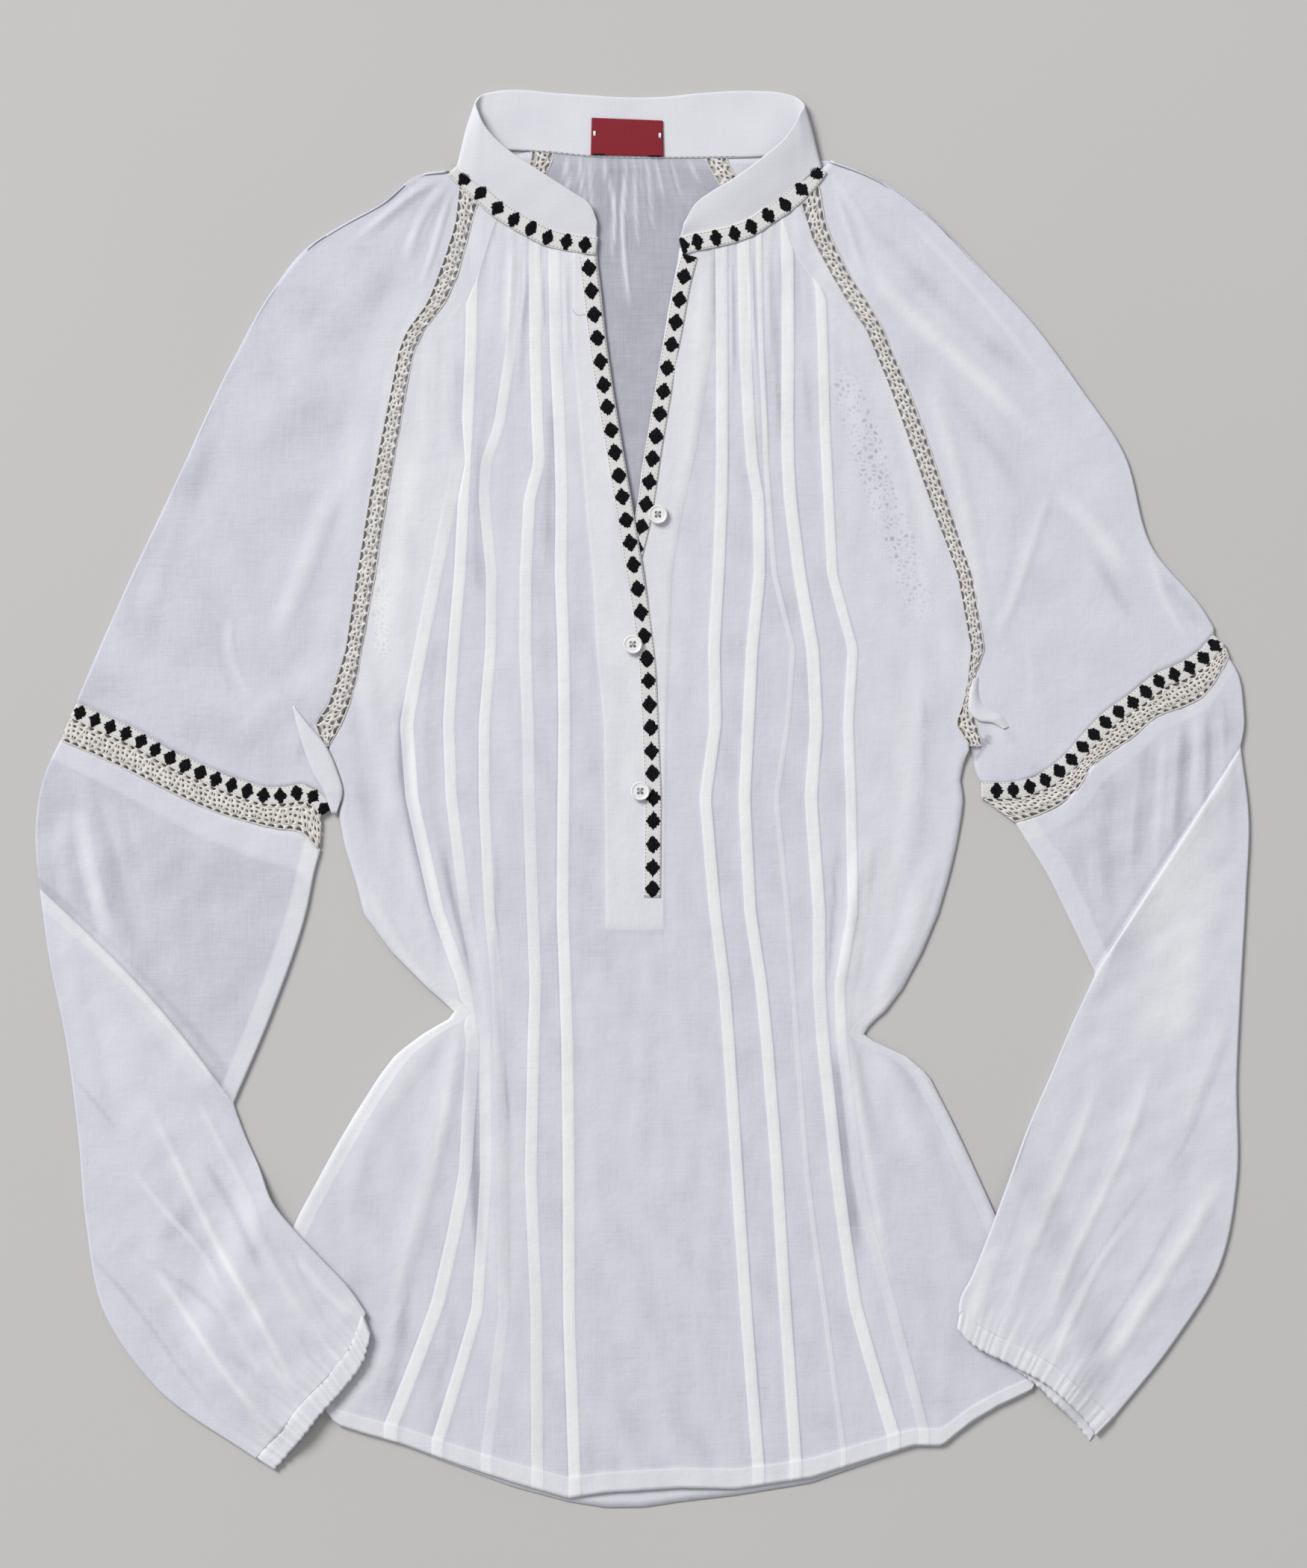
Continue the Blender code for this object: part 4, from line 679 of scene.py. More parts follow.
# Cloth wrapped round its outer edge: the lower layer back to front, a half turn, then the upper layer;
# a tube has a second half turn at its inner edge. Profile of a turn: radius times (cos a, sin a)
def wrapped(name, top, bottom, material, lift=0.0, relief=0.0, tone=0.5, tube=True, flip=False, wall=None,
            radius=1.15):
    angles = np.radians((-90, -60, -30, 0, 30, 60, 90))
    top, bottom = np.array(top, float), np.array(bottom, float)
    lift, relief, tone = (np.broadcast_to(part, top.shape[:2]).astype(float) for part in (lift, relief, tone))
    inward = top[:, 1] - top[:, 0]
    inward /= np.linalg.norm(inward, axis=1)[:, None]
    outward = top[:, -1] - top[:, -2]
    outward /= np.linalg.norm(outward, axis=1)[:, None]
    middle = top[:, 0] + radius * inward
    turn = middle[:, None] - radius * np.cos(angles)[:, None] * inward[:, None]
    parts = [raised(bottom[:, -2:0:-1], lift[:, -2:0:-1]),
             raised(turn, radius + radius * np.sin(angles) + lift[:, :1]),
             raised(top[:, 1:-1], 2 * radius + lift[:, 1:-1] + relief[:, 1:-1])]
    tones = [tone[:, -2:0:-1], np.repeat(tone[:, :1], len(angles), 1), tone[:, 1:-1]]
    if tube:
        end = top[:, -1] - radius * outward
        turn = end[:, None] + radius * np.cos(angles)[:, None] * outward[:, None]
        parts.append(raised(turn, radius + radius * np.sin(angles) + lift[:, -1:])[:, ::-1])
        tones.append(np.repeat(tone[:, -1:], len(angles), 1))
    else:
        parts[0] = np.concatenate([raised(bottom[:, -1:], lift[:, -1:]), parts[0]], 1)
        parts.append(raised(top[:, -1:], 2 * radius + lift[:, -1:] + relief[:, -1:]))
        tones[0] = np.concatenate([tone[:, -1:], tones[0]], 1)
        tones.append(tone[:, -1:])
    return gridPiece(name, np.concatenate(parts, 1), material, np.concatenate(tones, 1), closed=tube,
                     flip=flip, wall=wall)


# Distance of each point from a closed outline, zero inside it
def outside(xy, outline):
    start = np.array(outline, float)
    end = np.roll(start, -1, axis=0)
    run = end - start
    offset = xy[..., None, :] - start
    t = np.clip((offset * run).sum(-1) / (run * run).sum(-1), 0, 1)
    distance = np.linalg.norm(offset - t[..., None] * run, axis=-1).min(-1)
    y = xy[..., 1, None]
    spans = (start[:, 1] > y) != (end[:, 1] > y)
    crossing = start[:, 0] + (y - start[:, 1]) / np.where(run[:, 1] == 0, 1, run[:, 1]) * run[:, 0]
    within = (spans & (xy[..., 0, None] < crossing)).sum(-1) % 2 == 1
    return np.where(within, 0, distance)


# Height of a sleeve's underside: onBody s^2 (3 - 2 s) in its lower part, where s falls from 1 to 0 as the
# distance from the body's outline grows from the first to the second ramp value; zero elsewhere
def bodyLift(xy):
    side, hem = np.array(sides, float), np.array(hems, float)
    outline = np.concatenate([side[:, [2, 0]], hem[-2:0:-1, :2], side[::-1, 1::-1]])
    near, far = sleeve["ramp"]
    share = np.clip((far - outside(xy, outline)) / (far - near), 0, 1)
    low = np.clip((sleeve["rampTop"] - xy[..., 1]) / sleeve["rampLength"], 0, 1)
    return sleeve["onBody"] * low * share * share * (3 - 2 * share)


upperSleeves = {
    "columns": 84, "levels": 110, "tone": {"left": 0.34, "right": 0.43}, "underTape": 1, "flatEdge": 4,
    "cornerRows": 9, "cornerDip": (0.1, 0.4, 0.9),
    "folds": {
        "left": (
            (((-125, 290), (-160, 262), (-190, 225)), 0.4, 12),
            (((-163, 172), (-180, 128), (-198, 84)), 0.7, 9), (((-192, 62), (-206, 42), (-219, 28)), 0.5, 8),
            (((-222, 98), (-220, 74), (-208, 50)), 0.4, 4),
            (((-104, 330), (-118, 312), (-126, 285)), 0.7, 4),
            (((-103, 325), (-110, 300), (-118, 275)), 0.6, 3),
            (((-110, 333), (-130, 318), (-150, 300)), 0.6, 5),
        ),
        "right": (
            (((116, 288), (150, 252), (185, 220), (216, 188)), 0.9, 9),
            (((152, 222), (166, 180), (177, 125), (183, 92)), 0.5, 8),
            (((218, 166), (209, 140), (200, 112), (188, 84)), 0.5, 5),
            (((222, 164), (242, 144), (262, 116)), 0.7, 9), (((271, 132), (280, 104), (292, 84)), 0.5, 5),
            (((102, 332), (116, 312), (126, 290)), 0.8, 4), (((104, 325), (112, 300), (120, 275)), 0.7, 3),
            (((188, 40), (200, 24), (212, 14)), 1.0, 6),
        ),
    },
    # Tone strokes: mostly painted light along the crests of folds and painted shade in the creases, with a
    # dark painted shadow in the underarm gap beside the right fold; some whiter bands are layers of cloth
    # beneath
    "tones": {
        "left": ((((-118, 300), (-132, 262), (-148, 215), (-158, 160), (-166, 90)), 0.24, 12),
                 (((-106, 320), (-118, 270), (-134, 232), (-144, 170), (-154, 100), (-166, 42)), 0.26, 4.5),
                 (((-170, 110), (-174, 80), (-182, 50)), 0.18, 10),
                 (((-163, 172), (-180, 128), (-198, 84)), 0.32, 7),
                 (((-180, 72), (-190, 60), (-200, 50)), 0.14, 8),
                 (((-222, 98), (-220, 74), (-208, 50)), 0.20, 2.6),
                 (((-228, 98), (-226, 72), (-215, 48)), -0.06, 3),
                 (((-222, 218), (-240, 165), (-255, 120), (-270, 66)), -0.08, 7),
                 (((-104, 334), (-122, 326), (-142, 310), (-162, 294)), 0.22, 2.6),
                 (((-106, 328), (-118, 310), (-130, 292)), 0.20, 2.6),
                 (((-110, 331), (-130, 316), (-152, 300)), -0.10, 2.6),
                 (((-105, 324), (-114, 306), (-122, 286)), -0.10, 2.6),
                 (((-178, 60), (-188, 45), (-205, 30)), -0.08, 5),
                 (((-176, 44), (-181, 30), (-186, 18)), -0.14, 4)),
        "right": ((((116, 288), (150, 252), (185, 220), (216, 188)), 0.32, 7),
                  (((152, 222), (166, 180), (177, 125), (183, 92)), 0.28, 6),
                  (((102, 300), (124, 254), (145, 208), (163, 150), (176, 105), (182, 70)), 0.22, 4.5),
                  (((106, 318), (132, 296), (164, 262), (212, 220)), -0.13, 7),
                  (((140, 312), (172, 278), (202, 242), (217, 222)), 0.20, 2.8),
                  (((157, 238), (170, 208), (188, 186), (202, 158)), -0.13, 7),
                  (((200, 160), (197, 130), (191, 98)), -0.10, 4),
                  (((218, 166), (209, 140), (200, 112), (188, 84)), 0.26, 2.8),
                  (((222, 164), (242, 144), (262, 116)), 0.28, 7),
                  (((238, 136), (252, 112), (264, 92)), -0.15, 6),
                  (((271, 132), (280, 104), (292, 84)), 0.28, 2.8),
                  (((278, 118), (290, 104), (300, 92)), -0.16, 6),
                  (((206, 84), (207, 64), (206, 46)), 0.18, 2.6),
                  (((186.5, 34), (181, 27.5), (177, 20)), -0.9, 2.6),
                  (((104, 332), (118, 310), (130, 285)), 0.14, 4)),
    },
}


# Upper sleeves: both layers are blended between the outer edge, the raglan seams and the elbow tape. The
# inner corner at the elbow dips in its last rows and columns
def upperSleeve(side, away):
    width = upperSleeves["columns"]
    end = beside(along(elbowTape[side], width), -away * (tape["elbowWidth"] / 2 - upperSleeves["underTape"]))
    levels = np.linspace(body["neckBend"][1], body["raglanEnd"], upperSleeves["levels"])
    layers = []
    for table, neck in ((frontRaglan, neckEdge()), (backRaglan, backNeck)):
        seam = edgeLine(levels, table, 1 if away < 0 else 4, neck) - (away * body["clearance"], 0)
        inner = np.concatenate([seam, along([seam[-1], underarm[side], end[-1]], 10)[1:]])
        outer = along(sleeveEdge[side], len(inner))
        outer[-1] = end[0]
        start = outer[0] + np.linspace(0, 1, width)[:, None] * (inner[0] - outer[0])
        layers.append(patch(start, end, outer, inner))
    top = layers[0]
    relief = strokes(top, upperSleeves["folds"][side]) + 0.16 * ripples(top, 34, 14, 5 + away, (1.0, 1.4))
    relief = relief * np.clip(np.arange(width) / upperSleeves["flatEdge"], 0, 1)
    corner, dip = upperSleeves["cornerRows"], np.array(upperSleeves["cornerDip"])
    relief[-corner:, -len(dip):] -= dip * np.linspace(0, 1, corner)[:, None]
    # Painted light and shade along the folds, and layers beneath
    tone = upperSleeves["tone"][side] + strokes(top, upperSleeves["tones"][side])
    tone = tone + 0.03 * ripples(top, 40, 12, 8 + away)
    piece = wrapped("sleeveUpper" + side.capitalize(), *layers, cloth, 0.0, relief, tone, False, away > 0,
                    layer["shell"])
    return place(piece, "cloth", "sleeve_upper_" + side)


lowerSleeves = {
    "columns": 80, "above": 34, "below": 110, "tone": {"left": 0.42, "right": 0.48},
    "folds": {
        "left": (
            (((-300, 20), (-292, -25), (-285, -75)), 1.2, 8),
            (((-290, 5), (-272, -40), (-262, -75)), 0.7, 6),
            (((-240, -30), (-236, -80), (-232, -120)), 0.4, 7),
            (((-310, -70), (-300, -130), (-290, -180)), 0.7, 10),
            (((-266, -162), (-239, -217), (-210, -270), (-184, -322)), 0.8, 6),
            (((-264, -247), (-246, -274), (-225, -305), (-197, -338)), 0.8, 6),
            (((-224, -196), (-207, -232), (-190, -264), (-172, -292)), 0.8, 7),
            (((-274, -198), (-255, -222), (-238, -241), (-223, -268)), 0.4, 5),
            (((-239, -160), (-225, -188), (-213, -210), (-204, -232)), 0.4, 5),
            (((-186, -244), (-166, -267), (-152, -279)), 0.6, 6),
        ),
        "right": (
            (((288, 40), (286, 0), (282, -30)), 0.8, 6), (((300, 45), (300, 10), (298, -15)), 0.6, 5),
            (((272, 30), (266, -10), (262, -40)), 0.6, 5), (((310, 55), (314, 20), (314, -20)), 0.5, 5),
            (((240, -5), (244, -40), (250, -70)), 0.4, 7),
            (((245, -145), (229, -190), (215, -222), (199, -262), (190, -292)), 0.5, 6),
            (((272, -140), (260, -180), (243, -217), (228, -248), (212, -290)), 0.6, 6),
            (((264, -224), (247, -243), (233, -270), (218, -300)), 0.5, 5),
            (((314, -196), (291, -234), (266, -274), (240, -314)), 1.0, 8),
            (((312, -118), (299, -150), (287, -180)), 0.5, 7),
            (((188, -235), (180, -262), (176, -284)), 0.6, 8),
        ),
    },
    # Tone strokes: painted light along the crests of folds, painted shade in the creases between them
    "tones": {
        "left": ((((-302, -5), (-297, -38), (-285, -76)), 0.42, 6),
                 (((-310, 0), (-312, -30), (-308, -60)), 0.10, 6),
                 (((-306, -62), (-280, -92), (-250, -128), (-226, -160)), 0.26, 11),
                 (((-294, -90), (-282, -140), (-268, -185)), 0.16, 14),
                 (((-275, 0), (-268, -40), (-262, -80)), 0.08, 6),
                 (((-288, -10), (-280, -50), (-272, -85)), -0.10, 5),
                 (((-266, -162), (-252, -190), (-239, -217), (-226, -243), (-210, -270), (-194, -300),
                   (-182, -326)), 0.40, 3), (((-262, -240), (-250, -228), (-238, -212)), -0.16, 9),
                 (((-250, -222), (-236, -240), (-222, -262)), -0.10, 6),
                 (((-239, -160), (-225, -188), (-213, -210), (-204, -232)), 0.26, 2.6),
                 (((-228, -238), (-214, -262), (-199, -290)), 0.12, 6),
                 (((-238, -190), (-224, -212), (-213, -234), (-202, -258)), -0.18, 4),
                 (((-224, -196), (-207, -232), (-190, -264), (-172, -292)), 0.22, 4),
                 (((-191, -236), (-179, -262), (-164, -291)), -0.14, 2.6),
                 (((-186, -244), (-166, -267), (-152, -279)), 0.28, 3.5),
                 (((-274, -198), (-255, -222), (-238, -241), (-223, -268)), 0.32, 2.4),
                 (((-276, -238), (-262, -250), (-243, -262), (-222, -280)), -0.14, 3.6),
                 (((-264, -247), (-246, -274), (-225, -305), (-205, -330), (-195, -340)), 0.42, 3),
                 (((-268, -262), (-246, -296), (-226, -320)), -0.12, 8),
                 (((-302, -238), (-270, -274), (-248, -305), (-222, -338)), -0.16, 2.4),
                 (((-306, -148), (-292, -164), (-280, -180)), -0.14, 2.6),
                 (((-203, -296), (-194, -310), (-185, -324)), 0.26, 2.4),
                 (((-232, -262), (-216, -288), (-204, -308)), 0.16, 3),
                 (((-224, -296), (-210, -306), (-198, -320)), -0.12, 5),
                 (((-186, -282), (-178, -298), (-168, -312)), -0.12, 2.4),
                 (((-178, -276), (-170, -292), (-160, -304)), 0.20, 2.4),
                 (((-206, -316), (-200, -328), (-192, -338)), -0.12, 2.4),
                 (((-214, -322), (-207, -334), (-199, -346)), 0.18, 2.6)),
        "right": ((((306, -8), (286, -40), (262, -78)), 0.34, 12),
                  (((300, -30), (284, -90), (276, -140)), 0.26, 24),
                  (((292, -60), (290, -120), (284, -170)), 0.08, 12),
                  (((290, 45), (287, 5), (285, -22)), -0.18, 3.2),
                  (((270, 36), (266, 0), (262, -40)), -0.20, 4),
                  (((302, 48), (302, 12), (300, -10)), -0.16, 2.6),
                  (((296, 48), (295, 15), (293, -5)), 0.30, 3),
                  (((279, 40), (276, 0), (273, -40)), 0.30, 3.4),
                  (((311, 55), (312, 25), (311, 5)), -0.12, 2.6),
                  (((250, 15), (248, -20), (250, -60)), -0.10, 6),
                  (((245, -145), (229, -190), (215, -222), (199, -262), (190, -292)), 0.32, 3),
                  (((240, -180), (224, -222), (210, -258)), -0.08, 4),
                  (((272, -140), (260, -180), (243, -217), (228, -248), (212, -290)), 0.36, 2.8),
                  (((275, -200), (257, -224), (245, -242), (227, -270), (212, -302)), -0.22, 2.2),
                  (((264, -224), (247, -243), (233, -270), (218, -300)), 0.28, 2.6),
                  (((290, -212), (270, -250), (251, -280), (229, -312)), -0.20, 2.4),
                  (((314, -196), (291, -234), (266, -274), (240, -314)), 0.42, 5),
                  (((314, -214), (292, -258), (262, -300)), -0.12, 9),
                  (((317, -120), (303, -155), (292, -181), (276, -206)), -0.18, 2.4),
                  (((312, -118), (299, -150), (287, -180)), 0.22, 3),
                  (((294, -186), (288, -204), (280, -222)), -0.12, 7),
                  (((216, -215), (202, -255), (190, -290)), -0.14, 2.4),
                  (((206, -200), (199, -226), (190, -250)), -0.12, 2.6),
                  (((188, -235), (180, -262), (176, -284)), 0.22, 6),
                  (((218, -276), (211, -290), (204, -302)), -0.14, 2.4),
                  (((240, -284), (232, -298), (224, -310)), -0.12, 2.4),
                  (((228, -280), (220, -296), (213, -308)), 0.20, 2.4),
                  (((205, -270), (199, -284), (193, -298)), 0.18, 2.4)),
    },
    # Changes of tone: whiter on the seam strip, painted shade above the fold, a painted shadow just above it,
    # lighter on its edge, partly the turned cloth and partly painted light, and whiter at the lace
    "strip": {"left": 0.34, "right": 0.20}, "shade": 0.15, "foldShadow": 0.12, "foldLight": 0.20,
    "laceLight": 0.20, "gatherReach": 11, "gatherLight": 0.20,
    # How far the ends run under lace and cuff, and the rounded edge of the fold
    "underLace": 0.8, "underCuff": 1.0, "lip": 0.12, "lipStep": 0.75,
}


cuffs = {"columns": 130, "rows": 9, "tone": 0.72, "crimp": 0.32, "crimpWidth": 5.2, "overlap": 2.2,
         "lift": 0.40, "dip": (0.8, 0.24), "crimpShading": 0.12, "waver": 0.25, "fineWaver": 0.2}


# The elastic's crimp at length s along the wrist: the sine of 2 pi s / crimpWidth, whose phase wanders by
# two slower sines
def crimpWave(s):
    return np.sin(math.tau * s / cuffs["crimpWidth"] + 2.2 * np.sin(s * 0.23) + 1.1 * np.sin(s * 0.71))


# Lower sleeves: a tube from the elbow lace to the cuff, in two blended parts; the one below the fold
# stands a step higher, with a rounded edge, and the step fades as foldStep (1 - distance / foldReach)^2.
# The crimp of the cuff runs on into the sleeve and dies away as exp(-distance / gatherReach)
def lowerSleeve(side, away):
    width, above, below = (lowerSleeves[part] for part in ("columns", "above", "below"))
    share = np.linspace(0, 1, width)[:, None]
    upper, lower = np.array(forearm[side], float), np.array(wrist[side], float)
    start = beside(along(elbowLace[side], width), -away * lowerSleeves["underLace"])
    bulge = sleeve["foldBulge"][side] * np.sin(math.pi * share) * np.array(sleeve["bulgeWay"])
    fold = upper[-1, :2] + share * (upper[-1, 2:] - upper[-1, :2]) + bulge
    first = patch(start, fold, along(np.concatenate([start[:1], upper[:, :2]]), above),
                  along(np.concatenate([start[-1:], upper[:, 2:]]), above))
    head = lower[0, :2] + share * (lower[0, 2:] - lower[0, :2]) + bulge
    end = beside(along(cuffStart[side], width), away * lowerSleeves["underCuff"])
    second = patch(head, end, along(lower[:, :2], below), along(lower[:, 2:], below))
    lip = fold + lowerSleeves["lip"] * (head - fold)
    xy = np.concatenate([first, lip[None], second])
    reach = np.linalg.norm(second - second[0], axis=-1)
    fading = sleeve["foldStep"] * np.clip(1 - reach / sleeve["foldReach"], 0, 1) ** 2
    across = np.clip(7 * np.minimum(share, 1 - share), 0, 1).T
    step = np.concatenate([np.zeros((above, width)), lowerSleeves["lipStep"] * fading[:1], fading]) * across
    wave = crimpWave(reachAlong(along(cuffStart[side], width)))
    gather = np.exp(-np.linalg.norm(xy - xy[-1], axis=-1) / lowerSleeves["gatherReach"])
    waves = 0.14 * ripples(xy, 24, 14, 11 + away)
    relief = step + (strokes(xy, lowerSleeves["folds"][side]) + waves) * across
    relief += gather * cuffs["crimp"] * (0.5 + 0.5 * wave) * across
    # Painted light and shade along the folds
    tone = lowerSleeves["tone"][side] + strokes(xy, lowerSleeves["tones"][side])
    tone = tone + 0.03 * ripples(xy, 36, 12, 14 + away)
    # Lighter toward the cuff, with painted light on the crests of the crimp and painted shade in its troughs
    tone += gather * (lowerSleeves["gatherLight"] + lowerSleeves["gatherLight"] * wave)
    # Painted shade above the fold, a painted shadow just above its edge, and light on the edge, partly
    # painted
    tone[:above] -= lowerSleeves["shade"]
    tone[above - 3:above] -= lowerSleeves["foldShadow"]
    tone[above:above + 4] += lowerSleeves["foldLight"]
    inner = np.linalg.norm(xy - xy[:, -1:], axis=-1)
    tone[:above] += lowerSleeves["strip"][side] * (inner[:above] < sleeve["seamStrip"])
    tone[:5] += lowerSleeves["laceLight"]
    piece = wrapped("sleeveLower" + side.capitalize(), xy, xy, cloth, bodyLift(xy), relief, tone, True,
                    away > 0, layer["shell"])
    return place(piece, "cloth", "sleeve_lower_" + side)


tongues = {
    "low": 3.1, "rise": 1.0, "rows": 40, "columns": 12, "tone": 0.62,
    "left": (((-187.6, 49.6), (-184.6, 36), (-180.6, 23.6), (-176.6, 13), (-171.6, 4.6), (-166.6, -8)),
             ((-187.0, 49.8), (-179.6, 40.4), (-170.0, 29.0), (-163.8, 15.6), (-160.6, 3.5), (-164.0, -8))),
    "right": (((176.6, 64), (174.4, 54), (174.8, 46.5), (179.4, 41.8), (187.0, 40.6), (193.0, 37.2)),
              ((180.5, 66), (180.0, 58), (182.5, 51.0), (187.5, 47.6), (192.5, 44.6), (197.0, 38.5))),
    "sink": {"left": 0, "right": 1.9}, "slope": {"left": 0.15, "right": -0.25}, "wall": 0.4,
}


# Folds of sleeve cloth over the ends of the front lace: straight lines carried between two curves, which
# swell by rise sqrt(sin(pi u)), lie flat at both ends and go down into the sleeve by sink u^2
def tongue(side, away):
    edges = [along(edge, tongues["rows"]) for edge in tongues[side]]
    u = np.linspace(0, 1, tongues["columns"])
    v = np.linspace(0, 1, tongues["rows"])[:, None]
    xy = edges[0][:, None] + u[:, None] * (edges[1] - edges[0])[:, None]
    swell = np.sqrt(np.clip(np.sin(math.pi * u), 0, 1)) * np.clip(5 * np.minimum(v, 1 - v), 0, 1)
    # Tone changes across the fold by slope: painted shade and light, one edge darker than the other
    tone = tongues["tone"] + tongues["slope"][side] * (u - 0.5) + 0 * v
    z = tongues["low"] + tongues["rise"] * swell - tongues["sink"][side] * u ** 2
    piece = gridPiece("sleeveFold" + side.capitalize(), raised(xy, z), cloth, tone, flip=away > 0,
                      wall=tongues["wall"])
    return place(piece, "cloth")


for side, away in (("left", -1), ("right", 1)):
    upperSleeve(side, away)
    lowerSleeve(side, away)
    tongue(side, away)
print("sleeves laid out")


# Cuffs: a narrow tube drawn in by elastic. Its face rises by crimp (0.5 + 0.5 crimpWave) times the square
# root of 4 (share + 0.1) (1.1 - share), its end wavers in and out, and its start dips into the sleeve
def cuff(side, away):
    start = beside(along(cuffStart[side], cuffs["columns"]), -away * cuffs["overlap"])
    end = along(cuffEnd[side], cuffs["columns"])
    reach = reachAlong(along(cuffStart[side], cuffs["columns"]))
    wave = crimpWave(reach)
    end = beside(end, away * (cuffs["waver"] * wave + cuffs["fineWaver"] * np.sin(reach * 1.3)))
    share = np.linspace(0, 1, cuffs["rows"])[:, None]
    rows = start + share[..., None] * (end - start)
    under = rows.copy()
    if side == "right":
        outer = np.linspace(2, -1, len(reach)).clip(0, 1)[:, None]
        under += share[..., None] * np.array(sleeve["underShift"]) * outer
    arch = np.sqrt(np.clip(4 * (share + 0.1) * (1.1 - share), 0, 1))
    relief = cuffs["lift"] + cuffs["crimp"] * (0.5 + 0.5 * wave) * arch
    relief[:2] -= np.array(cuffs["dip"])[:, None]
    # Painted light on the crests of the crimp, painted shade in its troughs
    tone = cuffs["tone"] + cuffs["crimpShading"] * wave * np.ones_like(share)
    piece = wrapped("cuff" + side.capitalize(), rows, under, cloth, bodyLift(rows), relief, tone, True,
                    away > 0, layer["shell"])
    return place(piece, "cloth", "cuff_" + side)


band = {"sections": 220, "across": 26, "wall": 1.1, "tuckIn": 0.17, "tone": 0.66, "swell": 0.35,
        "clear": 0.05}


# Collar: straight lines carried from its lower edge to its upper edge all round; in front it starts
# under the neck tape. Its face swells by swell sin(pi u) and ripples a little
def collarBand():
    rows = along(collar, band["sections"])
    inFront = np.clip((rows[:, 2] - 1.2) / 1.0, 0, 1)[:, None, None]
    share = np.linspace(0, 1, band["across"])[:, None]
    share = share - band["tuckIn"] * inFront * (1 - share)
    surface = rows[:, None, :3] + share * (rows[:, None, 3:] - rows[:, None, :3])
    normal = np.cross(np.gradient(surface, axis=0), np.gradient(surface, axis=1))
    normal /= np.linalg.norm(normal, axis=-1)[..., None]
    swell = band["swell"] * np.sin(math.pi * np.clip(share, 0, 1))
    swell = swell + 0.10 * ripples(surface[..., :2], 24, 12, 21)[..., None]
    surface = surface - normal * swell * np.clip(surface[..., 2:] - 0.8, 0, 1)
    surface[..., 2] = np.maximum(surface[..., 2], band["wall"] / 2 + band["clear"])
    tone = band["tone"] + 0.03 * ripples(surface[..., :2], 30, 12, 22)
    piece = gridPiece("collarBand", surface, poplin, tone)
    thick = piece.modifiers.new("thickness", "SOLIDIFY")
    thick.thickness = band["wall"] * mm
    thick.offset = 0
    return place(piece, "band", "collar_band")


# Woven tape: cream cotton on the piece's UV, ribbed across, with a dashed grey stitch near each edge.
# The dash shows where |u| is near the stitch line and the length along the tape is in its first part
def tapeMaterial(look):
    material = wovenMaterial("patternedTape", look)
    tree = material.node_tree
    shader = tree.nodes["Principled BSDF"]
    spot = addNode(tree, "ShaderNodeTexCoord").outputs["UV"]
    split = addNode(tree, "ShaderNodeSeparateXYZ")
    tree.links.new(spot, split.inputs[0])
    fromMiddle = combine(tree, "ABSOLUTE", split.outputs[0], 0)
    offset = combine(tree, "ABSOLUTE", combine(tree, "SUBTRACT", fromMiddle, look["stitchAt"] * mm), 0)
    inLine = combine(tree, "LESS_THAN", offset, look["stitchWidth"] / 2 * mm)
    dashes = combine(tree, "MULTIPLY", split.outputs[1], 1 / (look["dash"] * mm))
    inDash = combine(tree, "LESS_THAN", combine(tree, "FRACT", dashes, 0), look["dashShare"])
    mask = combine(tree, "MULTIPLY", combine(tree, "MULTIPLY", inLine, inDash), look["stitchShows"])
    mix = addNode(tree, "ShaderNodeMix", {"data_type": "RGBA"})
    tree.links.new(mask, mix.inputs["Factor"])
    tree.links.new(shader.inputs["Base Color"].links[0].from_socket, mix.inputs[6])
    mix.inputs[7].default_value = (*look["stitchColour"], 1)
    tree.links.new(mix.outputs[2], shader.inputs["Base Color"])
    return material


tapeLook = dict(clothLook, follows="uv", cloudSize=0.012, cloud=0.10, slub=0.20, thread=0.0007, grain=0.30,
                relief=0.25, bump=0.8, crumple=0.1, roughness=0.8, sheen=0.1, stitchAt=3.9, stitchWidth=0.45,
                dash=1.9, dashShare=0.55, stitchShows=0.75, stitchColour=(0.16, 0.16, 0.16),
                colours=((0.0, (0.36, 0.35, 0.335)), (0.5, (0.56, 0.55, 0.54)), (1.0, (0.76, 0.75, 0.74))))
patterned = tapeMaterial(tapeLook)


# Points at length s along a path and distance u to its right, at the path's own height
def onPath(path, s, u):
    reach = reachAlong(path)
    way = np.gradient(path[:, :2], axis=0)
    way /= np.linalg.norm(way, axis=1)[:, None]
    x, y, z, wayX, wayY = (np.interp(s, reach, part) for part in (*path.T, *way.T))
    return np.stack([x + u * wayY, y - u * wayX, z], -1)


# A flat tape along a path whose third column is its height: it drops at both edges by edgeDrop u^8
def tapeStrip(name, path, width, *nodes):
    share = np.linspace(-1, 1, tapeTop["columns"])
    reach = reachAlong(path)
    grid = onPath(path, *np.broadcast_arrays(reach[:, None], share[None] * width / 2))
    grid[..., 2] -= tapeTop["edgeDrop"] * share ** 8
    uv = np.stack(np.broadcast_arrays(share * width / 2, reach[:, None]), -1)
    piece = gridPiece(name, grid, patterned, 0.75, uv, flip=True, wall=tapeTop["wall"])
    return place(piece, "tape", *nodes)


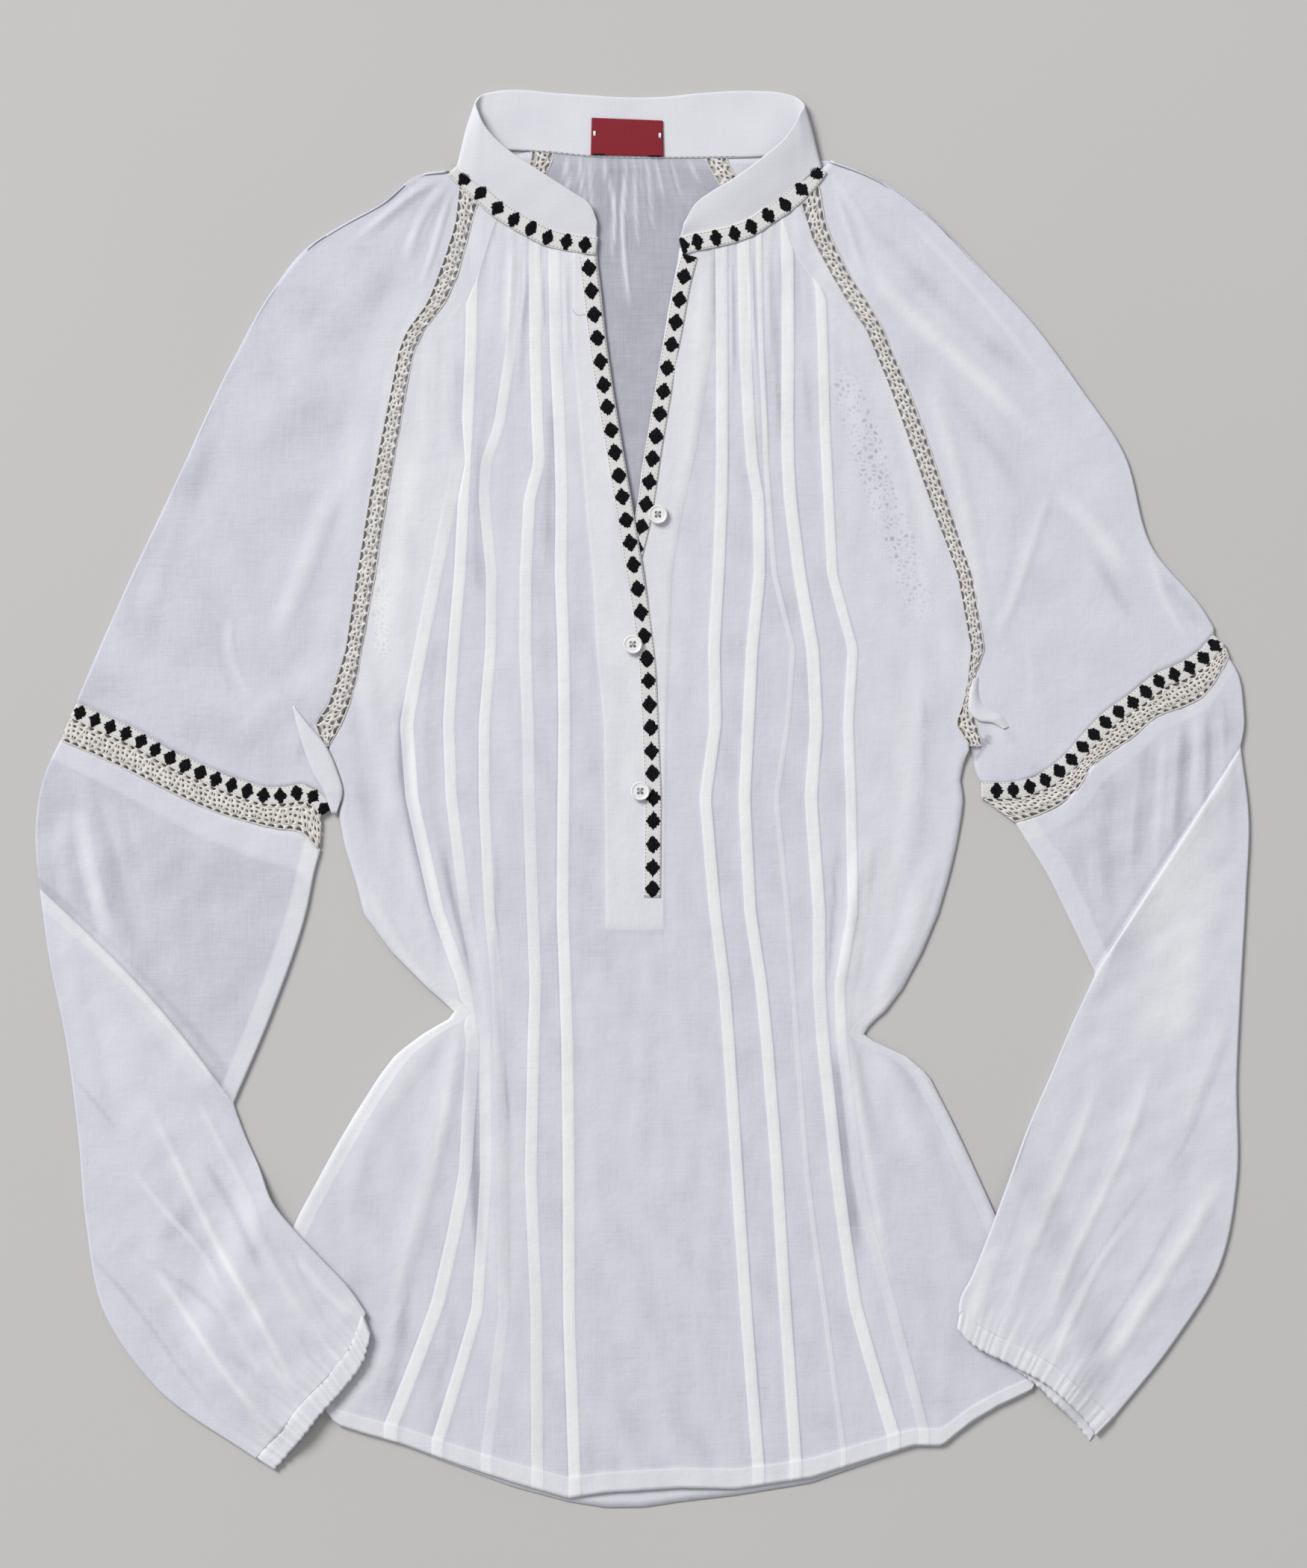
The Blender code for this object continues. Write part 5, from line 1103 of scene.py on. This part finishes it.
# Threads joined in one piece: round each line of points stands a ring of four corners, wider than it is
# high, and each end is closed. Lines come in groups of equal length, each with its radius
def threadPiece(name, groups, material, flatness=0.8, tone=0.5):
    corners, faces, count = [], [], 0
    for lines, radius in groups:
        lines = np.array(lines, float)
        number, length = lines.shape[:2]
        way = np.gradient(lines, axis=1)
        way /= np.linalg.norm(way, axis=-1)[..., None] + 1e-9
        side = np.stack([-way[..., 1], way[..., 0], 0 * way[..., 0]], -1)
        side /= np.linalg.norm(side, axis=-1)[..., None] + 1e-9
        above = np.cross(way, side)
        radius = np.broadcast_to(np.asarray(radius, float), (number, length))[..., None]
        ring = np.stack([lines + radius * side, lines + radius * flatness * above,
                         lines - radius * side, lines - radius * flatness * above], 2)
        base = count + 4 * np.arange(number * length).reshape(number, length, 1) + np.arange(4)
        here, there = base[:, :-1], base[:, 1:]
        quads = np.stack([here, np.roll(here, -1, -1), np.roll(there, -1, -1), there], -1)
        faces += [quads[..., ::-1].reshape(-1, 4), base[:, 0], base[:, -1, ::-1]]
        corners.append(ring.reshape(-1, 3))
        count += 4 * number * length
    mesh = bpy.data.meshes.new(name)
    mesh.from_pydata((np.concatenate(corners) * mm).tolist(), [], np.concatenate(faces).tolist())
    mesh.attributes.new("tone", "FLOAT", "POINT").data.foreach_set("value", np.full(count, tone, np.float32))
    mesh.shade_smooth()
    mesh.materials.append(material)
    piece = bpy.data.objects.new(name, mesh)
    bpy.context.collection.objects.link(piece)
    return piece


# Spun thread: its colour wavers between two near tones with noise on Object coordinates, and a fine
# noise drives the bump
def threadMaterial(name, look):
    material = bpy.data.materials.new(name)
    material.use_nodes = True
    tree, shader = material.node_tree, material.node_tree.nodes["Principled BSDF"]
    spot = addNode(tree, "ShaderNodeTexCoord").outputs["Object"]
    ramp = addNode(tree, "ShaderNodeValToRGB")
    for stop, position, colour in zip(ramp.color_ramp.elements, (0.35, 0.65), look["colours"]):
        stop.position, stop.color = position, (*colour, 1)
    tree.links.new(patches(tree, spot, look["size"], detail=3.0), ramp.inputs["Fac"])
    tree.links.new(ramp.outputs["Color"], shader.inputs["Base Color"])
    bump = addNode(tree, "ShaderNodeBump", None, {"Strength": 0.6, "Distance": look["relief"] * mm})
    tree.links.new(patches(tree, spot, look["fine"], detail=2.0), bump.inputs["Height"])
    tree.links.new(bump.outputs["Normal"], shader.inputs["Normal"])
    shader.inputs["Roughness"].default_value = look["roughness"]
    shader.inputs["Sheen Weight"].default_value = look["sheen"]
    shader.inputs["Specular IOR Level"].default_value = look["specular"]
    return material


greyThread = threadMaterial("greySewing", {
    "colours": ((0.30, 0.30, 0.32), (0.42, 0.42, 0.44)), "size": 0.002, "fine": 0.0003, "relief": 0.06,
    "roughness": 0.7, "sheen": 0.1, "specular": 0.2})
blackThread = threadMaterial("blackSatin", {
    "colours": ((0.004, 0.004, 0.005), (0.012, 0.012, 0.014)), "size": 0.0012, "fine": 0.0003, "relief": 0.08,
    "roughness": 0.6, "sheen": 0.0, "specular": 0.06})
ecruThread = threadMaterial("ecruLace", {
    "colours": ((0.57, 0.535, 0.495), (0.70, 0.67, 0.635)), "size": 0.004, "fine": 0.0003, "relief": 0.08,
    "roughness": 0.85, "sheen": 0.2, "specular": 0.2})
whiteThread = threadMaterial("whiteSewing", {
    "colours": ((0.66, 0.66, 0.68), (0.84, 0.84, 0.85)), "size": 0.002, "fine": 0.0003, "relief": 0.06,
    "roughness": 0.7, "sheen": 0.2, "specular": 0.3})

# Strands taper over six points from end to end; jitter moves them along and across the tape
diamond = {"halfLength": {"neck": 3.45, "placket": 4.7, "elbow": 3.55},
           "halfWidth": {"neck": 4.5, "placket": 3.9, "elbow": 4.3}, "tip": 0.8, "swell": 1.3, "strands": 11,
           "radius": 0.45, "ragged": 0.9, "points": (-1, -0.88, -0.4, 0.4, 0.88, 1),
           "taper": (0.6, 0.95, 1.0, 1.0, 0.95, 0.6), "jitter": (0.2, 0.05), "arch": 0.16, "clear": 0.02}


# Diamonds: at each place satin strands lie along the tape, each as long as the diamond is there,
# tip + (halfLength - tip) (1 - (|u| / reach)^swell), where reach is halfWidth less a strand's radius, with
# ragged ends, and arched as the square root of 1 - t^2
def diamondLines(path, places, kind, key):
    chance = np.random.default_rng(seed + key)
    wide, long = diamond["halfWidth"][kind], diamond["halfLength"][kind]
    edge = wide - diamond["radius"]
    u = np.linspace(-1, 1, diamond["strands"]) * edge
    shape = (len(places), diamond["strands"])
    half = diamond["tip"] + (long - diamond["tip"]) * (1 - (np.abs(u) / edge) ** diamond["swell"])
    half = half + diamond["ragged"] * chance.uniform(-0.5, 0.5, shape)
    t = np.array(diamond["points"])
    lengthwise, sideways = diamond["jitter"]
    middle = np.array(places)[:, None] + lengthwise * chance.uniform(-1, 1, shape)
    s = middle[..., None] + half[..., None] * t
    points = onPath(path, s, np.broadcast_to(u[:, None], s.shape) + sideways * chance.uniform(-1, 1, s.shape))
    points[..., 2] += diamond["arch"] * np.sqrt(1 - t * t) + diamond["clear"]
    radius = diamond["radius"] * np.array(diamond["taper"]) * np.ones(shape + (1,))
    return points.reshape(-1, len(t), 3), radius.reshape(-1, len(t))


diamondCentres = {
    "neckLeft": ((-95.6, 331.6), (-87, 324), (-78, 316), (-69, 310), (-60, 305), (-51, 300.5), (-41, 298),
                 (-31, 296.5)),
    "neckRight": ((21.2, 295.8), (29, 298), (39, 300), (49, 302.5), (58, 306), (67, 312), (76, 318),
                  (85, 326), (92.6, 334.7)),
    "placketLeft": ((-29, 284), (-27.5, 271.5), (-26, 259), (-24.5, 246.5), (-23, 234), (-21, 221.5),
                    (-19, 209.5), (-17, 197), (-15, 185.5), (-13, 173), (-11, 161.5), (-9, 149), (-7, 137),
                    (-5, 125), (-3, 112), (-1, 99.5), (1, 87), (2, 75), (3, 63), (3.5, 50.5), (4, 38),
                    (4.5, 25.5), (5, 13.5), (5.5, 0.5), (5.5, -12), (5, -24.5), (5, -37), (5, -48.5)),
    "placketRight": ((25, 291), (22, 279.5), (19.5, 267), (17.5, 255), (15, 243), (13, 230.5), (11, 218),
                     (9, 206), (7, 194), (5, 182), (3, 169.5), (1.5, 157.5), (-0.6, 145.5), (-3, 134)),
}
tapeTop = {"neck": 3.2, "placket": 2.85, "elbow": 2.5, "elbowLow": 0.36, "elbowPitch": 9.0, "wall": 0.4,
           "columns": 13, "edgeDrop": 0.25, "elbowLift": 0.3, "elbowDrop": 0.15, "elbowWall": 0.5}


# Length along a path at which each point lies nearest to it
def nearestReach(path, points):
    fine = along(path[:, :2], 900)
    away = np.linalg.norm(np.array(points, float)[:, None] - fine, axis=-1)
    return reachAlong(fine)[away.argmin(1)]


# All tapes and their diamonds: flat strips at neck and placket, a flattened tube round each elbow, whose
# lower layer of strands is the upper one mirrored
def allTapes():
    groups = []
    left = along(placketTapeLeft, 160)
    rise = tape["crossingRise"]
    rise = np.interp(-left[:, 1], [-y for y in tape["crossing"]], (0, rise, rise, 0))
    paths = (("neck", "Left", along(neckTapeLeft, 60), tapeTop["neck"]),
             ("neck", "Right", along(neckTapeRight, 60), tapeTop["neck"]),
             ("placket", "Left", left, tapeTop["placket"] + rise),
             ("placket", "Right", along(placketTapeRight, 80), tapeTop["placket"]))
    for number, (kind, side, path, z) in enumerate(paths):
        path = raised(path, z)
        tapeStrip(kind + "Tape" + side, path, tape[kind + "Width"], kind + "_tape_" + side.lower())
        places = nearestReach(path, diamondCentres[kind + side])
        groups.append(diamondLines(path, places, kind, 40 + number))
    for number, side in enumerate(("left", "right")):
        away = -1 if side == "left" else 1
        centre = along(elbowTape[side], 120)
        reach = reachAlong(centre)
        u = np.linspace(-1, 1, 7)
        rows = np.stack([beside(centre, -away * part * tape["elbowWidth"] / 2) for part in u[::-1]])
        lift = tapeTop["elbowLift"] - tapeTop["elbowDrop"] * u[:, None] ** 8
        piece = wrapped("elbowTape" + side.capitalize(), rows, rows, patterned, lift, 0.0, 0.75, True,
                        away > 0, tapeTop["elbowWall"])
        uv = piece.data.uv_layers["UVMap"].data
        flat = np.empty(2 * len(uv), np.float32)
        uv.foreach_get("uv", flat)
        flat = flat.reshape(-1, 2)[:, ::-1] - (tape["elbowWidth"] / 2 * mm, 0)
        uv.foreach_set("uv", flat.reshape(-1))
        place(piece, "tape", "elbow_tape_" + side)
        places = np.arange(4.0, reach[-1] - 2, tapeTop["elbowPitch"])
        for z, key in ((tapeTop["elbow"], 50), (tapeTop["elbowLow"], 51)):
            points, radius = diamondLines(raised(centre, z), places, "elbow", key + 2 * number)
            if z == tapeTop["elbowLow"]:
                points[..., 2] = 2 * z - points[..., 2]
                points, radius = np.maximum(points, (-1000, -1000, 0.25)), 0.5 * radius
            groups.append((points, radius))
    piece = threadPiece("tapeDiamonds", groups, blackThread)
    return place(piece, "tape")


lace = {"footing": 0.5, "edgeRow": 2.3, "edgeShare": 0.22,
        "elbow": {"rows": 3, "pitch": 2.6, "edgePitch": 4.8, "hole": (0.36, 0.66), "edgeHole": (0.50, 0.72)},
        "raglan": {"rows": 2, "pitch": 2.9, "edgePitch": 5.6, "hole": (0.40, 0.76), "edgeHole": (0.66, 0.82)},
        "wall": 0.25, "fan": 1.5, "fanLength": 9.6, "arc": 0.10, "endRoom": 0.3, "corner": 0.74,
        "outerCorner": 1.12, "innerCorner": 0.5, "edgeGain": 0.02, "levels": 160, "frontTop": 2.5,
        "backTop": 0.75, "elbowLayers": (0.35, 2.5)}


# Rows of lace cells on a grid of s and t: each cell is a ring of eight quads between its own border and a
# rounded hole, which is the border drawn in towards the centre, its corners more than its sides; in a row
# along an edge the outer corners stay out. Inner rows fan out: s moves by fan sin(2 pi s / fanLength) t and
# t by arc cos(2 pi s / fanLength) (1 - t^2)
def laceCells(s, t, share, flatSide, key):
    chance = np.random.default_rng(seed + key)
    across, lengthwise = len(t) - 1, len(s) - 1
    halfS, halfT = (np.interp(np.arange(2 * len(part) - 1) / 2, np.arange(len(part)), part)
                    for part in (s, t))
    lattice = np.stack(np.meshgrid(halfS, halfT, indexing="ij"), -1)
    if across > 1:
        turn = math.tau * lattice[..., 0] / lace["fanLength"]
        side = lattice[..., 1] / lattice[..., 1].max()
        lattice[..., 1] += lace["arc"] * np.cos(turn) * (1 - side * side)
        moved = lattice[..., 0] + lace["fan"] * np.sin(turn) * side
        lattice[1:-1, :, 0] = np.clip(moved, s[0] + lace["endRoom"], s[-1] - lace["endRoom"])[1:-1]
    number = np.arange(lattice.shape[0] * lattice.shape[1]).reshape(lattice.shape[:2])
    i, j = np.meshgrid(np.arange(lengthwise) * 2, np.arange(across) * 2, indexing="ij")
    steps = ((0, 0), (1, 0), (2, 0), (2, 1), (2, 2), (1, 2), (0, 2), (0, 1))
    border = np.stack([number[i + a, j + b] for a, b in steps], -1).reshape(-1, 8)
    centre = lattice[i + 1, j + 1].reshape(-1, 1, 2)
    corners = {1 + flatSide: lace["outerCorner"], 1 - flatSide: lace["innerCorner"]} if flatSide else {}
    drawn = np.array([corners.get(b, lace["corner"]) if a % 2 == b % 2 == 0 else 1.0 for a, b in steps])
    gain = chance.uniform(*share, (len(centre), 1, 2))
    if flatSide:
        gain[..., 1] = share[1] + lace["edgeGain"]
    hole = centre + gain * drawn[:, None] * (lattice.reshape(-1, 2)[border] - centre)
    ring = number.size + np.arange(hole.shape[0] * 8).reshape(-1, 8)
    quads = np.stack([border, np.roll(border, -1, 1), np.roll(ring, -1, 1), ring], -1).reshape(-1, 4)
    return np.concatenate([lattice.reshape(-1, 2), hole.reshape(-1, 2)]), quads


# Lace between two edges in space: a point at length s and t from -1 to 1 is
# edgeA + (t + 1) / 2 (edgeB - edgeA). Along both edges runs a row of large holes, between them small ones
def laceStrips(name, strips, node):
    points, faces, count = [], [], 0
    kind = lace["elbow" if "elbow" in name else "raglan"]
    for number, (edgeA, edgeB) in enumerate(strips):
        middle = (edgeA + edgeB) / 2
        reach = np.concatenate([[0], np.cumsum(np.linalg.norm(np.diff(middle, axis=0), axis=1))])
        width = np.linalg.norm(edgeA - edgeB, axis=1).mean()
        foot, row = lace["footing"] * 2 / width, min(lace["edgeRow"], lace["edgeShare"] * width) * 2 / width
        fine = np.linspace(0, reach[-1], max(2, round(reach[-1] / kind["pitch"])))
        wide = np.linspace(0, reach[-1], max(2, round(reach[-1] / kind["edgePitch"])))
        inner = np.linspace(-1 + foot + row, 1 - foot - row, kind["rows"] + 1)
        parts = [laceCells(fine, inner, kind["hole"], 0, 60 + number),
                 laceCells(wide, np.array((-1 + foot, -1 + foot + row)), kind["edgeHole"], -1, 62 + number),
                 laceCells(wide, np.array((1 - foot - row, 1 - foot)), kind["edgeHole"], 1, 64 + number)]
        for low, high in ((-1, -1 + foot), (1 - foot, 1)):
            plain = np.stack(np.meshgrid(fine, (low, high), indexing="ij"), -1).reshape(-1, 2)
            cell = np.arange(len(fine) - 1)[:, None] * 2 + (0, 2, 3, 1)
            parts.append((plain, cell))
        for spots, quads in parts:
            a, b = (np.stack([np.interp(spots[:, 0], reach, edge[:, part]) for part in range(3)], -1)
                    for edge in (edgeA, edgeB))
            points.append(a + (spots[:, 1:] + 1) / 2 * (b - a))
            faces.append(quads + count)
            count += len(spots)
    points, faces = np.concatenate(points), np.concatenate(faces)
    used, faces = np.unique(faces, return_inverse=True)
    points, faces = points[used], faces.reshape(-1, 4)
    points[:, 2] += 0.10 * ripples(points[:, :2], 3.0, 10, 66)
    mesh = bpy.data.meshes.new(name)
    mesh.from_pydata((points * mm).tolist(), [], faces.tolist())
    mesh.shade_smooth()
    mesh.materials.append(ecruThread)
    piece = bpy.data.objects.new(name, mesh)
    bpy.context.collection.objects.link(piece)
    thick = piece.modifiers.new("thickness", "SOLIDIFY")
    thick.thickness, thick.offset = lace["wall"] * mm, 0
    return place(piece, "lace", node)


# A path that runs along the top of a tube, turns round its end, comes back below and turns again
def loopPath(path, low, high):
    radius, middle = (high - low) / 2, (high + low) / 2
    end = reachAlong(path)[-1]
    turn = np.radians(np.linspace(90, -90, 7))
    straight = np.linspace(radius, end - radius, 90)[:-1]
    back = np.linspace(end - radius, radius, 90)[1:-1]
    s = np.concatenate([straight, end - radius + radius * np.cos(turn), back, radius - radius * np.cos(turn)])
    z = np.concatenate([np.full(len(straight), high), middle + radius * np.sin(turn),
                        np.full(len(back), low), middle - radius * np.sin(turn)])
    loop = onPath(raised(path, 0), s, 0 * s)
    loop[:, 2] = z
    return loop


# All lace: a strip along each raglan seam, front and back, and one loop round each sleeve at the elbow
def allLace():
    levels = np.linspace(body["neckBend"][1], body["raglanEnd"], lace["levels"])
    for layerName, table, neck in (("front", frontRaglan, neckEdge()), ("back", backRaglan, backNeck)):
        for side, columns in (("left", (1, 2)), ("right", (3, 4))):
            z = lace[layerName + "Top"]
            edges = [raised(edgeLine(levels, table, column, neck), z) for column in columns]
            laceStrips("raglanLace" + layerName.capitalize() + side.capitalize(), [edges],
                       "raglan_lace_" + layerName + "_" + side)
    for side, away in (("left", -1), ("right", 1)):
        near = beside(along(elbowTape[side], 120), away * (tape["elbowWidth"] / 2 - 0.8))
        far = along(elbowLace[side], 120)
        loops = [loopPath(edge, *lace["elbowLayers"]) for edge in (near, far)]
        laceStrips("elbowLace" + side.capitalize(), [loops], "elbow_lace_" + side)


cuff("left", -1)
cuff("right", 1)
collarBand()
allTapes()
allLace()
print("collar, cuffs, tapes and lace made")

label = {"corners": ((-27.5, 364.5), (-28.0, 344.6), (10.5, 363.0), (11.0, 343.8)), "top": 2.1,
         "swell": 0.15, "wall": 0.45,
         "colours": ((0.0, (0.12, 0.004, 0.008)), (0.6, (0.205, 0.007, 0.016)), (1.0, (0.30, 0.018, 0.034)))}
labelLook = dict(clothLook, cloud=0.08, slub=0.10, thread=0.0005, grain=0.30, relief=0.15, crumple=0.1,
                 roughness=0.65, colours=label["colours"])


# Label: its four corners blended in both directions, with a low swell of sin(pi u) sin(pi v)
def neckLabel():
    corner = np.array(label["corners"], float).reshape(2, 2, 2)
    u, v = np.meshgrid(np.linspace(0, 1, 60), np.linspace(0, 1, 34))
    xy = ((1 - u) * (1 - v))[..., None] * corner[0, 0] + ((1 - u) * v)[..., None] * corner[0, 1] \
        + (u * (1 - v))[..., None] * corner[1, 0] + (u * v)[..., None] * corner[1, 1]
    z = label["top"] + label["swell"] * np.sin(math.pi * u) * np.sin(math.pi * v)
    weave = wovenMaterial("redWeave", labelLook)
    piece = gridPiece("neckLabel", raised(xy, z), weave, 0.6, wall=label["wall"])
    return place(piece, "label", "neck_label")


# A few threads over and over between two points, side by side, arched by lift sin(pi t)
def bundle(start, end, z, number, spread, lift):
    start, end = np.array(start, float), np.array(end, float)
    t = np.linspace(0, 1, 6)
    way = (end - start) / np.linalg.norm(end - start)
    side = np.linspace(-spread, spread, number)[:, None, None] * np.array((-way[1], way[0]))
    xy = start + t[:, None] * (end - start) + side
    return raised(xy, z + lift * np.sin(math.pi * t))


buttonsAt = ((8.0, 152.0), (-5.5, 82.5), (-1.5, 4.0))
pearl = {"colours": ((0.66, 0.67, 0.68), (0.86, 0.85, 0.82)), "cloudSize": 0.004, "roughness": 0.22,
         "coat": 0.5, "coatRoughness": 0.1, "holeReach": 0.96, "top": 5.2, "sunk": 0.5, "arch": 0.6}


# Buttons keep their solids: pearl with soft clouds; threads cross between the holes
def buttonParts():
    material = bpy.data.materials.new("pearl")
    material.use_nodes = True
    tree, shader = material.node_tree, material.node_tree.nodes["Principled BSDF"]
    spot = addNode(tree, "ShaderNodeTexCoord").outputs["Object"]
    ramp = addNode(tree, "ShaderNodeValToRGB")
    for stop, colour in zip(ramp.color_ramp.elements, pearl["colours"]):
        stop.color = (*colour, 1)
    tree.links.new(patches(tree, spot, pearl["cloudSize"], detail=3.0), ramp.inputs["Fac"])
    tree.links.new(ramp.outputs["Color"], shader.inputs["Base Color"])
    shader.inputs["Roughness"].default_value = pearl["roughness"]
    shader.inputs["Coat Weight"].default_value = pearl["coat"]
    shader.inputs["Coat Roughness"].default_value = pearl["coatRoughness"]
    lines = []
    for number, (x, y) in enumerate(buttonsAt, 1):
        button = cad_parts[f"button_{number}"]
        for holder in button.material_slots:
            holder.material = material
        reach = pearl["holeReach"]
        for way in (1, -1):
            lines.append(bundle((x - reach, y - way * reach), (x + reach, y + way * reach),
                                pearl["top"] - pearl["sunk"], 4, 0.3, pearl["arch"]))
    return place(threadPiece("buttonThreads", [(np.concatenate(lines), 0.16)], greyThread), "button")


sewing = {"tacks": ((-26.0, 356.0, 2.6), (9.0, 355.0, 2.6)), "tackTop": 2.15, "tackSpread": 0.45,
          "labelEnds": ((-27.0, 344.9, -20.5, 344.8), (3.0, 344.0, 10.0, 343.9)), "labelTop": 2.2,
          "seam": (-62, 48, 37), "seamLength": 1.3, "seamTop": 1.35, "thread": 0.14,
          "loose": ((-38, 262), (-35, 258.5), (-31, 259.5), (-29.5, 255)), "looseTop": 2.75}


# Stitches: tacks that hold the label, dark stitches at its lower corners, a row of short stitches where
# the collar meets the back, and one loose thread end
def stitches():
    tacks = [bundle((x, y - length / 2), (x, y + length / 2), sewing["tackTop"], 4, sewing["tackSpread"], 0.5)
             for x, y, length in sewing["tacks"]]
    white = threadPiece("labelTacks", [(np.concatenate(tacks), 0.2)], whiteThread)
    dark = [bundle(row[:2], row[2:], sewing["labelTop"], 2, 0.2, 0.1) for row in sewing["labelEnds"]]
    dark = threadPiece("labelStitches", [(np.concatenate(dark), 0.2)], blackThread)
    low, high, number = sewing["seam"]
    edge = np.array([row[:2] for row in collar if row[5] < 1], float)
    x = np.linspace(low, high, number)
    y = np.interp(x, edge[:, 0], edge[:, 1]) + 0.7
    slope = np.gradient(y, x)
    half = sewing["seamLength"] / 2
    rows = [bundle((a - half, b - half * c), (a + half, b + half * c), sewing["seamTop"], 1, 0, 0.1)
            for a, b, c in zip(x, y, slope)]
    loose = along(sewing["loose"], 6)
    seam = threadPiece("collarStitches", [(np.concatenate(rows), sewing["thread"]),
                                          (raised(loose, sewing["looseTop"])[None], 0.1)], greyThread)
    place(white, "label")
    place(dark, "label")
    place(seam, "band")


neckLabel()
stitches()
buttonParts()
print("label, stitches and buttons finished")
# The floor reaches 3 m to each side and lies a little under the cloth
room = {"floor": (0.50, 0.49, 0.48), "floorReach": 3, "floorLevel": -0.0002, "key": 1010.0, "keySize": 4.8,
        "keyAt": (-5.5, 5.5, 6.6), "world": 0.47, "worldColour": (0.97, 0.98, 1.0),
        "camera": (0.0056, 0.0078, 3.0), "lens": 128.57, "sensor": 36, "farEnd": 20}


# Floor, one large light, a pale world and a camera that looks straight down
def stage():
    mesh = bpy.data.meshes.new("floor")
    corners = [(x * room["floorReach"], y * room["floorReach"], room["floorLevel"])
               for x, y in ((-1, -1), (1, -1), (1, 1), (-1, 1))]
    mesh.from_pydata(corners, [], [(0, 1, 2, 3)])
    material = bpy.data.materials.new("paleFloor")
    material.use_nodes = True
    tree, shader = material.node_tree, material.node_tree.nodes["Principled BSDF"]
    spot = addNode(tree, "ShaderNodeTexCoord").outputs["Object"]
    ramp = addNode(tree, "ShaderNodeValToRGB")
    for stop, gain in zip(ramp.color_ramp.elements, (0.97, 1.03)):
        stop.color = tuple(part * gain for part in room["floor"]) + (1,)
    tree.links.new(patches(tree, spot, 0.4, detail=2.0), ramp.inputs["Fac"])
    tree.links.new(ramp.outputs["Color"], shader.inputs["Base Color"])
    shader.inputs["Roughness"].default_value = 0.9
    mesh.materials.append(material)
    floor = bpy.data.objects.new("floor", mesh)
    bpy.context.collection.objects.link(floor)
    light = bpy.data.lights.new("key", "AREA")
    light.shape, light.size, light.energy = "DISK", room["keySize"], room["key"]
    lamp = bpy.data.objects.new("key", light)
    lamp.location = room["keyAt"]
    lamp.rotation_euler = (-Vector(room["keyAt"])).to_track_quat("-Z", "Y").to_euler()
    bpy.context.collection.objects.link(lamp)
    world = bpy.data.worlds.new("room")
    world.use_nodes = True
    world.node_tree.nodes["Background"].inputs["Color"].default_value = (*room["worldColour"], 1)
    world.node_tree.nodes["Background"].inputs["Strength"].default_value = room["world"]
    bpy.context.scene.world = world
    lens = bpy.data.cameras.new("camera")
    lens.lens, lens.sensor_width, lens.clip_end = room["lens"], room["sensor"], room["farEnd"]
    camera = bpy.data.objects.new("camera", lens)
    camera.location = room["camera"]
    bpy.context.collection.objects.link(camera)
    bpy.context.scene.camera = camera
    bpy.context.scene.view_settings.view_transform = "Standard"


stage()
print("floor, lights and camera set")
